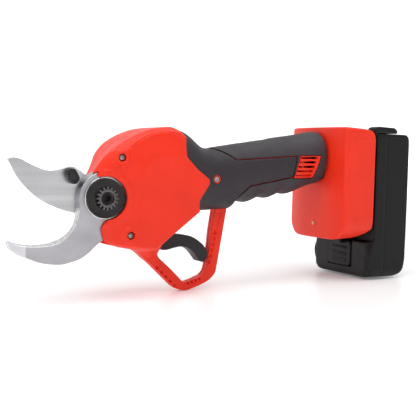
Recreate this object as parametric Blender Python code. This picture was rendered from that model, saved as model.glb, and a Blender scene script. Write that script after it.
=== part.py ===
"""Battery electric pruner: two blades driven by a bevel sector, a planetary gearbox and a motor in the
handle, a trigger in a guard loop, and a battery pack that slides off a dock at the back.

Lengths below are in millimetres in the tool's own axes: the origin is where the blade pivot crosses the
mid-plane, +X runs back to the battery, +Z runs up along the battery and -Y is the tool's left side.
The model stands on the battery's foot, so the whole tool hangs on an empty at PIVOT_WORLD.
"""

import math

import bmesh
import bpy
from mathutils import Matrix, Vector

MM = 0.001
FOOT = (238.0, 0.0, -66.0)  # centre of the battery's flat foot, seen from the pivot
PIVOT_WORLD = Vector((-FOOT[0], -FOOT[1], -FOOT[2])) * MM
GAP = 0.3  # between pieces that touch in the real tool
SEGMENTS = 20

# Layers across the tool, from the left face (negative) to the right
HEAD_HALF = 27.0
HEAD_FLAT_HALF = 20.0
WALL = 2.4
NUT_FACE, NUT_BACK = -23.0, -21.6
SPLINE_FACE = -26.7
COLLAR_FACE, COLLAR_BACK = -21.4, -20.4
FIXED_FACE, FIXED_BACK = -20.1, -14.6
MOVING_FACE, MOVING_BACK = -14.3, -9.8
GEAR_FACE = -9.5
BLADE_SLOT = (-20.4, -9.2)
GUARD_HALF = 4.0
TRIGGER_HALF = 6.0
BOX_HALF = 38.5
BATTERY_HALF = 37.5

# Pivot stack
BOLT_R = 4.0
BUSH_R = 6.0
HUB_R = 18.3
NUT_R = 14.2
SPLINE_TEETH, SPLINE_R, SPLINE_ROOT = 16, 8.7, 6.9

# Drive: the motor's axis runs up and back through the pivot
DRIVE_TILT = math.radians(8.3)
MODULE = 1.0
PINION_TEETH, SECTOR_TEETH = 12, 48
SUN_TEETH, PLANET_TEETH, RING_TEETH = 12, 18, 48
GEARBOX_MODULE = 0.6
PLANETS = 3
PRESSURE = math.radians(20)
SECTOR_FROM, SECTOR_TO = -58.0, 17.0  # degrees, at rest
PINION_SPAN = (17.6, 24.6)
BEARING_SPAN = (28.5, 33.5)
FRAME_RING_SPAN = (27.2, 36.0)
FLANGE_SPAN = (35.5, 37.4)
RING_SPAN = (37.8, 50.8)
CARRIER_SPAN = (38.6, 41.6)
PLANET_SPAN = (42.0, 48.6)
MOTOR_SPAN = (51.2, 103.0)
MOTOR_R = 14.2

# Trigger
TRIGGER_PIVOT = (44.5, -35.0)
TRIGGER_PIN_R = 1.6
TRIGGER_SPRING = (54.0, -25.7, -13.6)  # x of its axis, bottom and top

# Handle, box and battery
CORE_INSET = 2.3
CORE_WALL = 2.0
BOX = (191.5, 225.5, -34.5, 57.0)
BATTERY = (227.4, 261.4, -66.0, 52.0)
BLOCK_FRONT = 221.6
RAIL = (-14.0, 44.0)
HOOD_HALF = 36.5
LATCH_RIBS = 3
CELL_R, CELL_LONG, CELLS = 9.1, 65.0, 5

HEAD_MID = [(1, 15), (4, 22), (7, 30), (12.5, 37.3), (16.5, 40.4), (20.6, 43), (28.7, 46.8), (37, 49.5),
            (49.6, 51.2), (54.5, 50.8), (59, 49), (62.2, 45.8), (63.4, 41.5), (63.4, 30.8), (70.6, 22), (78.5, 15),
            (79.8, 11.5), (79, 8.5), (73, 0), (71.8, -4), (72.5, -10.5), (54, -26), (40, -38.5),
            (26, -38), (21, -36.4), (10, -34.5), (3.4, -32.8), (-5, -29)]
HEAD_SIDE = [(-2, 15), (1.7, 21.7), (3.8, 28), (5.6, 33), (11.3, 34.4), (17, 34.8), (22.5, 39.1), (30.2, 43.6),
             (37.3, 46.2), (49.4, 46.4), (57, 44.6), (60.8, 42), (60.8, 30), (70, 21), (78.5, 15),
             (79.8, 11.5), (79, 8.5), (73, 0), (71.8, -4), (70.5, -10), (52, -23.5), (38, -35),
             (26, -35.5), (20, -34.4), (10, -32.5), (3.4, -30.8), (-5, -28)]
FRONT_CLOSING = [(-4.2, -15.7), (-5.2, -8), (-5.2, 4), (-3.6, 10)]

# Handle sections: x, bottom, top, half width
HANDLE = [(58, -15, 50.6, 27), (64, -14, 49.8, 26.8), (70, -12.5, 47, 25.6), (76, -11.4, 42.4, 23.8),
          (82, -11, 37.6, 21.8), (88, -10.6, 36.6, 20.4), (95, -10.2, 37.6, 19.7), (102, -9.8, 38.8, 19.4),
          (109, -9, 39.8, 19.3), (112, -5, 40.4, 19.3), (117, -4.2, 41.2, 19.3), (123, -5.4, 42.1, 19.3),
          (129, -3.6, 43, 19.3), (135, -1.2, 43.9, 19.3), (142, -2.6, 45, 19.3), (148, -0.6, 46.2, 19.4),
          (154, 1.8, 47.2, 19.5), (161, 0.8, 48.2, 19.7), (168, 3.8, 49.2, 19.9), (176, 7.4, 50.6, 20),
          (182, 9, 51.6, 19.8), (187, 10.6, 51.8, 19.2), (189, 12.4, 50.4, 18)]
TONGUE = [(54, 60), (88, 60), (88.5, 38), (95, 35.5), (101, 33), (108, 28), (161, 32), (163, 31),
          (159.4, 16.4), (157, 15.5), (120, 9.5), (119.5, 7.5), (110.5, -2.5), (107, -14), (54, -40)]
VENT = [(165, 32.5), (184, 33), (179, 16), (160, 15)]
VENT_SLOTS = (31.2, 28.0, 24.2, 20.4, 17.2)

GUARD_OUTER = [(36, -36), (38, -45), (50.8, -57), (62.6, -67.4), (67.4, -70.2), (73.8, -71.4), (80, -70),
               (87, -67.6), (92.5, -65.2), (96.8, -62), (99.4, -58.4), (100.6, -52.9), (102.9, -42.9),
               (106, -28.6), (108, -17.1), (109, -4), (92.5, -4)]
GUARD_INNER = [(96.8, -15.7), (94.8, -26.4), (93.8, -37.1), (91.8, -51.4), (90.4, -57), (87, -60.6),
               (79.5, -63.4), (73.6, -64.9), (70.9, -64.2), (60.4, -54), (50.9, -45.6), (48.9, -42.8),
               (48.4, -38.5), (54, -30), (66, -20), (82, -12)]
YOKE = [(34, -30), (36, -44), (44, -46.5), (50.2, -41.5), (52, -35), (56, -28), (50, -24)]
TRIGGER_BLADE = [(48, -26.5), (56, -26.2), (64, -27.8), (72.9, -28.8), (79.2, -31), (86.3, -35.8), (90.4, -41),
                 (91, -44.4), (89.8, -48.2), (87.8, -50.2), (84.4, -49.6), (81.4, -45.4), (77.7, -41.4), (72.9, -38.6),
                 (67.3, -37.8), (62, -38.6), (55, -40), (49.5, -38.8), (44.5, -39.5), (40.6, -36.6),
                 (40.6, -33), (43.5, -30.6)]

MOVING_BLADE = [(-66.4, 25.7), (-61.6, 27), (-57.4, 26.1), (-53.7, 24.1), (-47.5, 21.3), (-41.3, 19.2),
                (-35, 18.7), (-28.7, 20), (-22, 21.8), (-17.2, 19.5), (-11.3, 15.8), (-6, 13.4)]
MOVING_EDGE = [(-19.3, -10.6), (-28.4, -8.4), (-34.7, -5.9), (-41.1, -3.1), (-47.3, 0.8), (-53.5, 6.2),
               (-59.6, 13), (-63.9, 20.1)]
FIXED_INNER = [(-18.2, -6), (-18.6, -13), (-20.6, -19.4), (-23.8, -23.7), (-28.2, -27.8), (-33.2, -30.8),
               (-38.8, -32.1), (-45.6, -32.6), (-53, -32.5), (-60.8, -31.1), (-67.8, -28.4)]
FIXED_OUTER = [(-67.8, -29.7), (-66.2, -33.9), (-60.8, -37.7), (-53.5, -40.6), (-45.5, -43.6),
               (-36.1, -45.1), (-29.8, -45.2), (-23.5, -43.9), (-17, -41.8), (-10.6, -37.6), (-5.5, -32.8),
               (2, -27), (12, -14)]

HEAD_SCREWS = {"head_screw_upper": (10.7, 28.5), "head_screw_lower": (18.2, -26.2)}
COLLAR_SCREW = (89.8, 13.7)
MAGNET_HOLDER = (-22.6, 15.0)
LED = (191.5, -2.0, -22.0)

COLOURS = {
    "red_plastic": ((0.72, 0.035, 0.015), 0.38, 0.0),
    "black_plastic": ((0.02, 0.02, 0.023), 0.45, 0.0),
    "grip_rubber": ((0.035, 0.035, 0.038), 0.7, 0.0),
    "blade_steel": ((0.55, 0.56, 0.58), 0.32, 1.0),
    "bright_steel": ((0.75, 0.75, 0.76), 0.2, 1.0),
    "black_steel": ((0.035, 0.035, 0.038), 0.4, 0.8),
    "gear_steel": ((0.42, 0.43, 0.45), 0.35, 1.0),
    "aluminium": ((0.68, 0.69, 0.7), 0.45, 1.0),
    "bronze": ((0.5, 0.33, 0.14), 0.4, 1.0),
    "copper": ((0.72, 0.36, 0.2), 0.35, 1.0),
    "board_green": ((0.02, 0.14, 0.06), 0.5, 0.0),
    "cable": ((0.03, 0.03, 0.03), 0.6, 0.0),
    "cell_wrap": ((0.05, 0.2, 0.42), 0.4, 0.0),
    "magnet": ((0.5, 0.5, 0.52), 0.3, 1.0),
    "lens": ((0.9, 0.55, 0.08), 0.2, 0.0),
}


def clear_scene():
    for obj in list(bpy.data.objects):
        bpy.data.objects.remove(obj, do_unlink=True)


def material(slot):
    found = bpy.data.materials.get(slot)
    if found:
        return found
    colour, roughness, metallic = COLOURS[slot]
    made = bpy.data.materials.new(slot)
    made.use_nodes = True
    shader = made.node_tree.nodes["Principled BSDF"]
    shader.inputs["Base Color"].default_value = (*colour, 1.0)
    shader.inputs["Roughness"].default_value = roughness
    shader.inputs["Metallic"].default_value = metallic
    made.diffuse_color = (*colour, 1.0)
    return made


def empty(name, place, parent=None, turn=(0.0, 0.0, 0.0)):
    """An axis or a carrier: place in millimetres from its parent."""
    made = bpy.data.objects.new(name, None)
    made.location = Vector(place) * MM
    made.rotation_euler = turn
    made.parent = parent
    made.empty_display_size = 0.01
    bpy.context.scene.collection.objects.link(made)
    return made


class Workshop:
    """Makes objects whose meshes are given in millimetres in the space of one parent empty."""

    def __init__(self, parent):
        self.parent = parent

    def from_bmesh(self, name, bm, slot=None):
        bmesh.ops.recalc_face_normals(bm, faces=bm.faces)
        for vert in bm.verts:
            vert.co *= MM
        mesh = bpy.data.meshes.new(name)
        bm.to_mesh(mesh)
        bm.free()
        made = bpy.data.objects.new(name, mesh)
        made.parent = self.parent
        bpy.context.scene.collection.objects.link(made)
        if slot:
            mesh.materials.append(material(slot))
        return made

    def rings(self, name, rings, slot=None, closed=False):
        """A skin through rings of equal length, capped at both ends, or joined end to start."""
        bm = bmesh.new()
        rows = [[bm.verts.new(point) for point in ring] for ring in rings]
        pairs = list(zip(rows, rows[1:]))
        if closed:
            pairs.append((rows[-1], rows[0]))
        for low, high in pairs:
            for i in range(len(low)):
                j = (i + 1) % len(low)
                bm.faces.new((low[i], low[j], high[j], high[i]))
        # Warped quads are split here, so that every Boolean sees the same flat triangles
        bmesh.ops.triangulate(bm, faces=[face for face in bm.faces if warped(face)])
        if not closed:
            bm.faces.new(rows[0][::-1])
            bm.faces.new(rows[-1])
        return self.from_bmesh(name, bm, slot)

    def plate(self, name, outline, low, high, slot=None):
        """An outline of (x, z) points carried along Y."""
        return self.rings(name, [[(x, y, z) for x, z in outline] for y in (low, high)], slot)

    def block(self, name, x, y, z, slot=None):
        outline = [(x[0], z[0]), (x[1], z[0]), (x[1], z[1]), (x[0], z[1])]
        return self.plate(name, outline, y[0], y[1], slot)

    def turned(self, name, profile, slot=None, axis="Y", centre=(0, 0, 0), segments=SEGMENTS):
        """A profile of (radius, height) points spun about an axis; the profile closes on itself."""
        bm = bmesh.new()
        columns = []
        for step in range(segments):
            angle = 2 * math.pi * step / segments
            columns.append([bm.verts.new(on_axis(axis, centre, r, angle, h)) for r, h in profile])
        for here, there in zip(columns, columns[1:] + columns[:1]):
            for i in range(len(profile)):
                j = (i + 1) % len(profile)
                bm.faces.new((here[i], here[j], there[j], there[i]))
        bmesh.ops.remove_doubles(bm, verts=bm.verts, dist=1e-4)
        bmesh.ops.dissolve_degenerate(bm, edges=bm.edges, dist=1e-4)
        return self.from_bmesh(name, bm, slot)

    def rod(self, name, radius, low, high, slot=None, axis="Y", centre=(0, 0, 0), segments=SEGMENTS):
        def ring(height):
            return [on_axis(axis, centre, radius, 2 * math.pi * i / segments, height) for i in range(segments)]
        return self.rings(name, [ring(low), ring(high)], slot)

    def tube(self, name, inner, outer, low, high, slot=None, axis="Y", centre=(0, 0, 0), segments=SEGMENTS):
        profile = [(inner, low), (outer, low), (outer, high), (inner, high)]
        return self.turned(name, profile, slot, axis, centre, segments)


def warped(face):
    """Whether a quad's fourth corner lies off the plane of the other three."""
    first, second, third, fourth = [vert.co for vert in face.verts]
    normal = (second - first).cross(third - first)
    return abs(normal.normalized().dot(fourth - first)) > 1e-3


def on_axis(axis, centre, radius, angle, height):
    across, up = radius * math.cos(angle), radius * math.sin(angle)
    if axis == "Y":
        offset = (across, height, up)
    elif axis == "X":
        offset = (height, across, up)
    else:
        offset = (across, up, height)
    return tuple(c + o for c, o in zip(centre, offset))


def bake(obj):
    """Replaces the object's mesh by what its modifiers make of it."""
    bpy.context.view_layer.update()
    evaluated = obj.evaluated_get(bpy.context.evaluated_depsgraph_get())
    mesh = bpy.data.meshes.new_from_object(evaluated)
    obj.modifiers.clear()
    obj.data = mesh


def combine(operation, obj, tools):
    """Applies one Boolean per tool and removes the tools."""
    for tool in tools:
        step = obj.modifiers.new(operation.lower(), "BOOLEAN")
        step.operation = operation
        step.object = tool
        step.solver = "EXACT"
        bake(obj)
        bpy.data.objects.remove(tool, do_unlink=True)
    return obj


def cut(obj, *tools):
    return combine("DIFFERENCE", obj, tools)


def join(obj, *tools):
    return combine("UNION", obj, tools)


def keep(obj, *tools):
    return combine("INTERSECT", obj, tools)


def twin(obj, name):
    made = obj.copy()
    made.data = obj.data.copy()
    made.name = name
    bpy.context.scene.collection.objects.link(made)
    return made


def finish(obj, slot, sharp=35):
    obj.data.materials.clear()
    obj.data.materials.append(material(slot))
    obj.data.shade_smooth()
    obj.data.set_sharp_from_angle(angle=math.radians(sharp))
    return obj


def grown(outline, distance):
    """The outline moved outwards by a distance (inwards if negative), corner by corner."""
    count = len(outline)
    area = sum(outline[i][0] * outline[(i + 1) % count][1] - outline[(i + 1) % count][0] * outline[i][1]
               for i in range(count))
    side = 1 if area > 0 else -1
    moved = []
    for i in range(count):
        before, here, after = outline[i - 1], outline[i], outline[(i + 1) % count]
        first = Vector((here[0] - before[0], here[1] - before[1])).normalized()
        second = Vector((after[0] - here[0], after[1] - here[1])).normalized()
        normal = Vector((first.y + second.y, -first.x - second.x)).normalized() * side
        stretch = max(0.5, normal.dot(Vector((second.y, -second.x))) * side)
        moved.append((here[0] + normal.x * distance / stretch, here[1] + normal.y * distance / stretch))
    return moved


def arc(centre, radius, start, end, steps):
    """Points on a circle between two angles in degrees, both ends included."""
    points = []
    for i in range(steps + 1):
        angle = math.radians(start + (end - start) * i / steps)
        points.append((centre[0] + radius * math.cos(angle), centre[1] + radius * math.sin(angle)))
    return points


def rounded(low, high, radius, steps=4):
    """A rectangle with round corners."""
    corners = [((high[0] - radius, high[1] - radius), 0), ((low[0] + radius, high[1] - radius), 90),
               ((low[0] + radius, low[1] + radius), 180), ((high[0] - radius, low[1] + radius), 270)]
    points = []
    for centre, start in corners:
        points += arc(centre, radius, start, start + 90, steps)
    return points


def head_solid(shop, name, inset):
    """The head: a flat-topped body whose outline draws in towards both side faces."""
    mid = grown(HEAD_MID + FRONT_CLOSING, -inset)
    side = grown(HEAD_SIDE + FRONT_CLOSING, -inset)
    rings = []
    for share, depth in ((1.0, HEAD_HALF), (0.72, HEAD_HALF - 1.2), (0.38, HEAD_HALF - 3.2), (0.0, HEAD_FLAT_HALF - 1)):
        ring = [(m[0] + (s[0] - m[0]) * share, m[1] + (s[1] - m[1]) * share) for m, s in zip(mid, side)]
        rings.append((depth * (HEAD_HALF - inset) / HEAD_HALF, ring))
    layers = [[(x, -depth, z) for x, z in ring] for depth, ring in rings]
    layers += [[(x, depth, z) for x, z in ring] for depth, ring in reversed(rings)]
    return shop.rings(name, layers)


def handle_solid(shop, name, inset, start=58.0, end=189.0, points=14):
    """The handle: rounded sections along X."""
    rings = []
    for x, bottom, top, half in HANDLE:
        if x < start or x > end:
            continue
        middle, tall, wide = (bottom + top) / 2, (top - bottom) / 2 - inset, half - inset
        ring = []
        for i in range(points):
            angle = 2 * math.pi * (i + 0.5) / points
            c, s = math.cos(angle), math.sin(angle)
            ring.append((x, wide * math.copysign(abs(c) ** 0.8, c), middle + tall * math.copysign(abs(s) ** 0.8, s)))
        rings.append(ring)
    rings[0] = [(start, y, z) for x, y, z in rings[0]]
    rings[-1] = [(end, y, z) for x, y, z in rings[-1]]
    return shop.rings(name, rings)


def split(obj, name_left, name_right, shop):
    """Two halves either side of the mid-plane."""
    far = 400
    left, right = obj, twin(obj, name_right)
    left.name = name_left
    cut(left, shop.block("right_space", (-far, far), (-GAP / 2, far), (-far, far)))
    cut(right, shop.block("left_space", (-far, far), (-far, GAP / 2), (-far, far)))
    return left, right


def shells(shop):
    """Left and right red shells: head, guard loop and the core of the handle in one moulding each."""
    body = head_solid(shop, "left_shell", 0)
    core = handle_solid(shop, "core", CORE_INSET, start=66.0, end=190.9)
    pad = handle_solid(shop, "pad", 0, start=154.0)
    keep(pad, shop.plate("pad_outline", VENT, -60, 60))
    guard = shop.plate("guard", GUARD_OUTER, -GUARD_HALF, GUARD_HALF)
    cut(guard, shop.plate("guard_window", GUARD_INNER, -60, 60))
    yoke = shop.plate("yoke", YOKE, -11, 11)
    join(body, core, pad, guard, yoke)
    inside = head_solid(shop, "inside", WALL)
    core_inside = handle_solid(shop, "core_inside", CORE_INSET + CORE_WALL, start=62.0, end=191.5)
    cut(body, inside, core_inside)
    for place in HEAD_SCREWS.values():
        join(body, shop.rod("boss", 3.9, -HEAD_HALF + 1.6, HEAD_HALF - 1.6, centre=(place[0], 0, place[1]), segments=12))
    cut_openings(shop, body)
    left, right = split(body, "left_shell", "right_shell", shop)
    cut(left, shop.rod("nut_recess", 15.9, -40, BLADE_SLOT[0] + 0.1))
    for place in HEAD_SCREWS.values():
        centre = (place[0], 0, place[1])
        cut(left, shop.rod("pocket", 3.0, -40, -24.2, centre=centre, segments=12))
        cut(left, shop.rod("hole", 1.9, -40, 5, centre=centre, segments=12))
        cut(right, shop.rod("pilot", 1.6, -5, 12.4, centre=centre, segments=12))
    centre = (COLLAR_SCREW[0], 0, COLLAR_SCREW[1])
    cut(left, shop.rod("collar_pilot", 1.5, -60, -5, centre=centre, segments=12))
    return finish(left, "red_plastic"), finish(right, "red_plastic")


def cut_openings(shop, body):
    """Slots for the blades, the gear housing's nose, the trigger and the vents."""
    low, high = BLADE_SLOT
    slot = [(-90, -80), (-90, 14.6), (6, 14.6)] + arc((0, 0), 25, 36, -62, 8) + [(4, -80)]
    cut(body, shop.plate("blade_slot", slot, low, high))
    fixed = grown(fixed_outline(), 0.4)
    cut(body, shop.plate("fixed_slot", fixed, low - 0.15, FIXED_BACK + 0.2))
    cut(body, shop.rod("nose_opening", 14.2, high - 1, HEAD_HALF - 7))
    cut(body, shop.plate("hub_front", [(-60, -13), (-60, 13), (0.5, 13), (0.5, -13)], high - 0.6, HEAD_HALF - 7.4))
    cut(body, shop.rod("bolt_head_opening", 9.2, 0, 60))
    trigger_slot = grown(TRIGGER_BLADE, 1.2)
    raised = [turned_point(p, TRIGGER_PIVOT, 12) for p in trigger_slot]
    cut(body, shop.rod("spring_well", 4.0, -30, -16, axis="Z", centre=(TRIGGER_SPRING[0], 0, 0), segments=12))
    for outline in (trigger_slot, raised):
        cut(body, shop.plate("trigger_slot", outline, -TRIGGER_HALF - 0.5, TRIGGER_HALF + 0.5))
    cut(body, shop.rod("trigger_pin_hole", TRIGGER_PIN_R + 0.15, -9.3, 9.3,
                       centre=(TRIGGER_PIVOT[0], 0, TRIGGER_PIVOT[1]), segments=12))
    for height in VENT_SLOTS:
        for side in (-1, 1):
            reach = sorted((side * 15, side * 30))
            shift = (height - 24) * 0.28
            cut(body, shop.block("vent", (164.5 + shift, 180.5 + shift), reach, (height - 0.8, height + 0.8)))


def turned_point(point, centre, degrees):
    angle = math.radians(degrees)
    x, z = point[0] - centre[0], point[1] - centre[1]
    return (centre[0] + x * math.cos(angle) - z * math.sin(angle),
            centre[1] + x * math.sin(angle) + z * math.cos(angle))


def grips(shop):
    """Hard black collars behind the head, with a tongue along each side, and the rubber grips round them."""
    collar = handle_solid(shop, "left_grip_collar", 0, start=58.0)
    keep(collar, shop.plate("tongue", TONGUE, -60, 60))
    cut(collar, head_solid(shop, "head_space", -GAP), handle_solid(shop, "core_space", CORE_INSET - 0.5, end=191.0))
    cut(collar, shop.plate("guard_space", grown(GUARD_OUTER, GAP), -GUARD_HALF - GAP, GUARD_HALF + GAP))
    rubber = handle_solid(shop, "left_rubber_grip", 0, start=82.0)
    cut(rubber, shop.plate("tongue_space", grown(TONGUE, 0.7), -60, 60))
    cut(rubber, shop.plate("vent_space", grown(VENT, 0.5), -60, 60))
    cut(rubber, handle_solid(shop, "core_space", CORE_INSET - 0.5, end=191.0))
    parts = []
    for whole, kind, slot in ((collar, "grip_collar", "black_plastic"), (rubber, "rubber_grip", "grip_rubber")):
        parts += [finish(half, slot) for half in split(whole, "left_" + kind, "right_" + kind, shop)]
    centre = (COLLAR_SCREW[0], 0, COLLAR_SCREW[1])
    cut(parts[0], shop.rod("screw_hole", 3.4, -60, -5, centre=centre, segments=12))
    return parts


def screws(shop):
    for name, place in HEAD_SCREWS.items():
        centre = (place[0], 0, place[1])
        screw = shop.turned(name, [(0, -25.6), (2.5, -25.6), (2.5, -24.5), (1.4, -24.5), (1.4, 12), (0, 12)],
                            centre=centre, segments=12)
        cut(screw, shop.rod("socket", 1.1, -30, -24.9, centre=centre, segments=6))
        finish(screw, "gear_steel")
    centre = (COLLAR_SCREW[0], 0, COLLAR_SCREW[1])
    screw = shop.turned("collar_screw", [(0, -19.2), (2.1, -19.2), (2.1, -18.2), (1.3, -18.2), (1.3, -15.8), (0, -15.8)],
                        centre=centre, segments=12)
    finish(screw, "gear_steel")


def fixed_outline():
    hub = arc((0, 0), HUB_R, -46, 180 + 12, 16)
    return FIXED_INNER + FIXED_OUTER + hub


def fixed_blade(shop):
    blade = shop.plate("fixed_blade", fixed_outline(), FIXED_FACE, FIXED_BACK)
    cut(blade, shop.rod("bore", BOLT_R + 0.1, -60, 60))
    return finish(blade, "blade_steel")


def blade_pieces(shop):
    """The moving blade and what turns with it."""
    outline = MOVING_BLADE + arc((0, 0), 14.4, 100, -118, 16) + MOVING_EDGE
    blade = shop.plate("moving_blade", outline, MOVING_FACE, MOVING_BACK)
    cut(blade, shop.rod("bore", BUSH_R + 0.12, -60, 60))
    places = [(9.9 * math.cos(a), 9.9 * math.sin(a)) for a in (math.radians(-20), math.radians(160))]
    for x, z in places:
        cut(blade, shop.rod("pin_hole", 1.65, -60, 60, centre=(x, 0, z), segments=12))
    finish(blade, "blade_steel")
    bush = shop.tube("pivot_bush", BOLT_R + 0.12, BUSH_R, MOVING_FACE + 0.05, 2.0)
    finish(bush, "bronze")
    sector = sector_gear(shop)
    for x, z in places:
        cut(sector, shop.rod("pin_hole", 1.65, -60, 60, centre=(x, 0, z), segments=12))
    finish(sector, "gear_steel")
    for number, (x, z) in enumerate(places, 1):
        pin = shop.rod(f"drive_pin_{number}", 1.5, MOVING_FACE + 0.3, -5.0, centre=(x, 0, z), segments=12)
        finish(pin, "gear_steel")
    x, z = MAGNET_HOLDER
    outline = arc((0, 1.8), 3.8, 0, 180, 6) + arc((0, -1.8), 3.8, 180, 360, 6)
    outline = [turned_point((x + a, z + b), (x, z), 28) for a, b in outline]
    holder = shop.plate("blade_magnet_holder", outline, -19.2, MOVING_FACE - 0.1)
    cut(holder, shop.rod("pocket", 2.6, -17.4, 0, centre=(x, 0, z), segments=12))
    finish(holder, "black_plastic")
    finish(shop.rod("blade_magnet", 2.4, -17.1, MOVING_FACE - 0.4, centre=(x, 0, z), segments=12), "magnet")


def sector_gear(shop):
    """A bevel sector whose pitch cone has its point at the pivot centre, on a round hub."""
    pitch, depth = MODULE * SECTOR_TEETH / 2, MODULE * PINION_TEETH / 2
    slant = math.hypot(pitch, depth)
    rise = (depth / slant, pitch / slant)  # outwards and up the tooth, away from the pitch cone
    inner_share = PINION_SPAN[0] / pitch
    step = 360 / SECTOR_TEETH
    first = math.ceil((SECTOR_FROM - math.degrees(DRIVE_TILT)) / step - 0.5)
    last = math.floor((SECTOR_TO - math.degrees(DRIVE_TILT)) / step - 0.5)
    samples = []
    for tooth in range(first, last + 1):
        middle = math.degrees(DRIVE_TILT) + (tooth + 0.5) * step
        for side in (-1, 1):
            corners = [(-1.25, side), (0.95, side)]
            for height, way in corners if side < 0 else corners[::-1]:
                half = math.pi * MODULE / 4 - height * math.tan(PRESSURE) - 0.1
                samples.append((middle + way * math.degrees(half / pitch), height * MODULE))
    rings = []
    for angle, height in samples:
        turn = math.radians(angle)
        section = []
        for share in (1.0, inner_share):
            section.append(((pitch + height * rise[0]) * share, (-depth + height * rise[1]) * share))
        section += [(pitch * inner_share - 3, -4.6), (pitch * inner_share - 4, GEAR_FACE), (pitch + 0.3, GEAR_FACE)]
        rings.append([(r * math.cos(turn), y, r * math.sin(turn)) for r, y in section])
    ring = shop.rings("blade_sector_gear", rings)
    web = [(math.cos(math.radians(a)) * 15.5, math.sin(math.radians(a)) * 15.5)
           for a in range(int(SECTOR_FROM) + 2, int(SECTOR_TO), 8)]
    join(ring, shop.plate("web", [(-4, 0)] + web, GEAR_FACE, -5.4))
    join(ring, shop.rod("hub", 12.4, GEAR_FACE, -5.2), shop.rod("boss", 9.0, -6, 1.8))
    return cut(ring, shop.rod("bore", BUSH_R + 0.12, -60, 60))


def pivot_stack(shop):
    bolt = shop.turned("pivot_bolt", [(0, -24.4), (BOLT_R, -24.4), (BOLT_R, 14.5), (8, 14.5), (8, 19), (0, 19)])
    cut(bolt, shop.rod("socket", 2.6, -30, -22, segments=12))
    finish(bolt, "black_steel")
    collar = shop.tube("pivot_collar", BOLT_R + 0.2, 15.3, COLLAR_FACE, COLLAR_BACK, segments=24)
    finish(collar, "bright_steel")
    nut = shop.tube("pivot_nut", BOLT_R + 0.12, NUT_R, NUT_FACE, NUT_BACK, segments=24)
    points = []
    for tooth in range(SPLINE_TEETH):
        for radius, offset in ((SPLINE_ROOT, -0.27), (SPLINE_R, -0.2), (SPLINE_R, 0.2), (SPLINE_ROOT, 0.27)):
            angle = 2 * math.pi * (tooth + offset) / SPLINE_TEETH
            points.append((radius * math.cos(angle), radius * math.sin(angle)))
    join(nut, shop.plate("spline", points, SPLINE_FACE, NUT_FACE + 0.5))
    cut(nut, shop.rod("recess", 4.7, -30, -24.0), shop.rod("bore", BOLT_R + 0.12, -30, 0))
    finish(nut, "black_steel")


def gear_outline(teeth, module, addendum, dedendum, backlash, turn=0.0):
    """Involute teeth, each flank drawn from root to tip; the first tooth points along `turn`."""
    pitch = teeth * module / 2
    base = pitch * math.cos(PRESSURE)
    levels = (pitch - dedendum * module, pitch + addendum * module)

    def roll(radius):
        if radius <= base:
            return 0.0
        angle = math.acos(base / radius)
        return math.tan(angle) - angle

    halves = []
    for radius in levels:
        halves.append(math.pi / (2 * teeth) + roll(pitch) - roll(radius) - backlash / pitch)
    points = []
    for tooth in range(teeth):
        middle = turn + 2 * math.pi * tooth / teeth
        for radius, half in zip(levels, halves):
            points.append((radius * math.cos(middle - half), radius * math.sin(middle - half)))
        for radius, half in reversed(list(zip(levels, halves))):
            points.append((radius * math.cos(middle + half), radius * math.sin(middle + half)))
    return points


def along(outline, heights, scales=(1.0, 1.0)):
    return [[(x * s, y * s, h) for x, y in outline] for h, s in zip(heights, scales)]


def drive_pieces(shop):
    """Turned about the drive axis, which is local Z; local X points down the tool's -Y side."""
    pitch = MODULE * SECTOR_TEETH / 2
    outline = gear_outline(PINION_TEETH, MODULE, 0.85, 1.2, 0.12)
    scales = tuple(h / pitch for h in PINION_SPAN)
    pinion = shop.rings("bevel_pinion", along(outline, PINION_SPAN, scales))
    join(pinion, shop.rod("collar", 4.6, PINION_SPAN[1] - 0.5, BEARING_SPAN[0] - GAP, axis="Z"))
    cut(pinion, shop.rod("bore", 3.1, 0, 60, axis="Z"))
    finish(pinion, "gear_steel")
    finish(shop.tube("pinion_bearing", 3.12, 8.0, *BEARING_SPAN, axis="Z"), "gear_steel")

    carrier = shop.rod("output_carrier", 12.4, *CARRIER_SPAN, axis="Z")
    join(carrier, shop.rod("shaft", 3.0, PINION_SPAN[0] + 0.4, CARRIER_SPAN[0] + 1, axis="Z"))
    distance = GEARBOX_MODULE * (SUN_TEETH + PLANET_TEETH) / 2
    for number in range(PLANETS):
        angle = 2 * math.pi * number / PLANETS
        centre = (distance * math.cos(angle), distance * math.sin(angle), 0)
        join(carrier, shop.rod("pin", 1.5, CARRIER_SPAN[1] - 1, PLANET_SPAN[1], axis="Z", centre=centre, segments=12))
    finish(carrier, "gear_steel")

    outline = gear_outline(RING_TEETH, GEARBOX_MODULE, 1.2, 0.85, -0.05, math.pi / RING_TEETH)
    ring = shop.rod("gearbox_ring_gear", 17, *RING_SPAN, axis="Z", segments=32)
    cut(ring, shop.rings("teeth", along(outline, (RING_SPAN[0] - 1, RING_SPAN[1] + 1))))
    finish(ring, "gear_steel")

    outline = gear_outline(SUN_TEETH, GEARBOX_MODULE, 0.9, 1.15, 0.05)
    sun = shop.rings("motor_pinion", along(outline, (PLANET_SPAN[0], PLANET_SPAN[1] + 2.5)))
    cut(sun, shop.rod("bore", 1.62, 0, 90, axis="Z", segments=12))
    finish(sun, "gear_steel")

    profile = [(0, PLANET_SPAN[0] + 0.2), (1.5, PLANET_SPAN[0] + 0.2), (1.5, 62), (8.5, 62), (8.5, 96), (1.5, 96),
               (1.5, 105), (0, 105)]
    finish(shop.turned("motor_rotor", profile, axis="Z", segments=12), "copper")
    low, high = MOTOR_SPAN
    profile = [(2.0, low), (MOTOR_R, low), (MOTOR_R, high), (2.0, high), (2.0, high - 2.5), (9.0, high - 2.5),
               (9.0, low + 3), (2.0, low + 3)]
    finish(shop.turned("motor_can", profile, axis="Z"), "black_steel")


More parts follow.
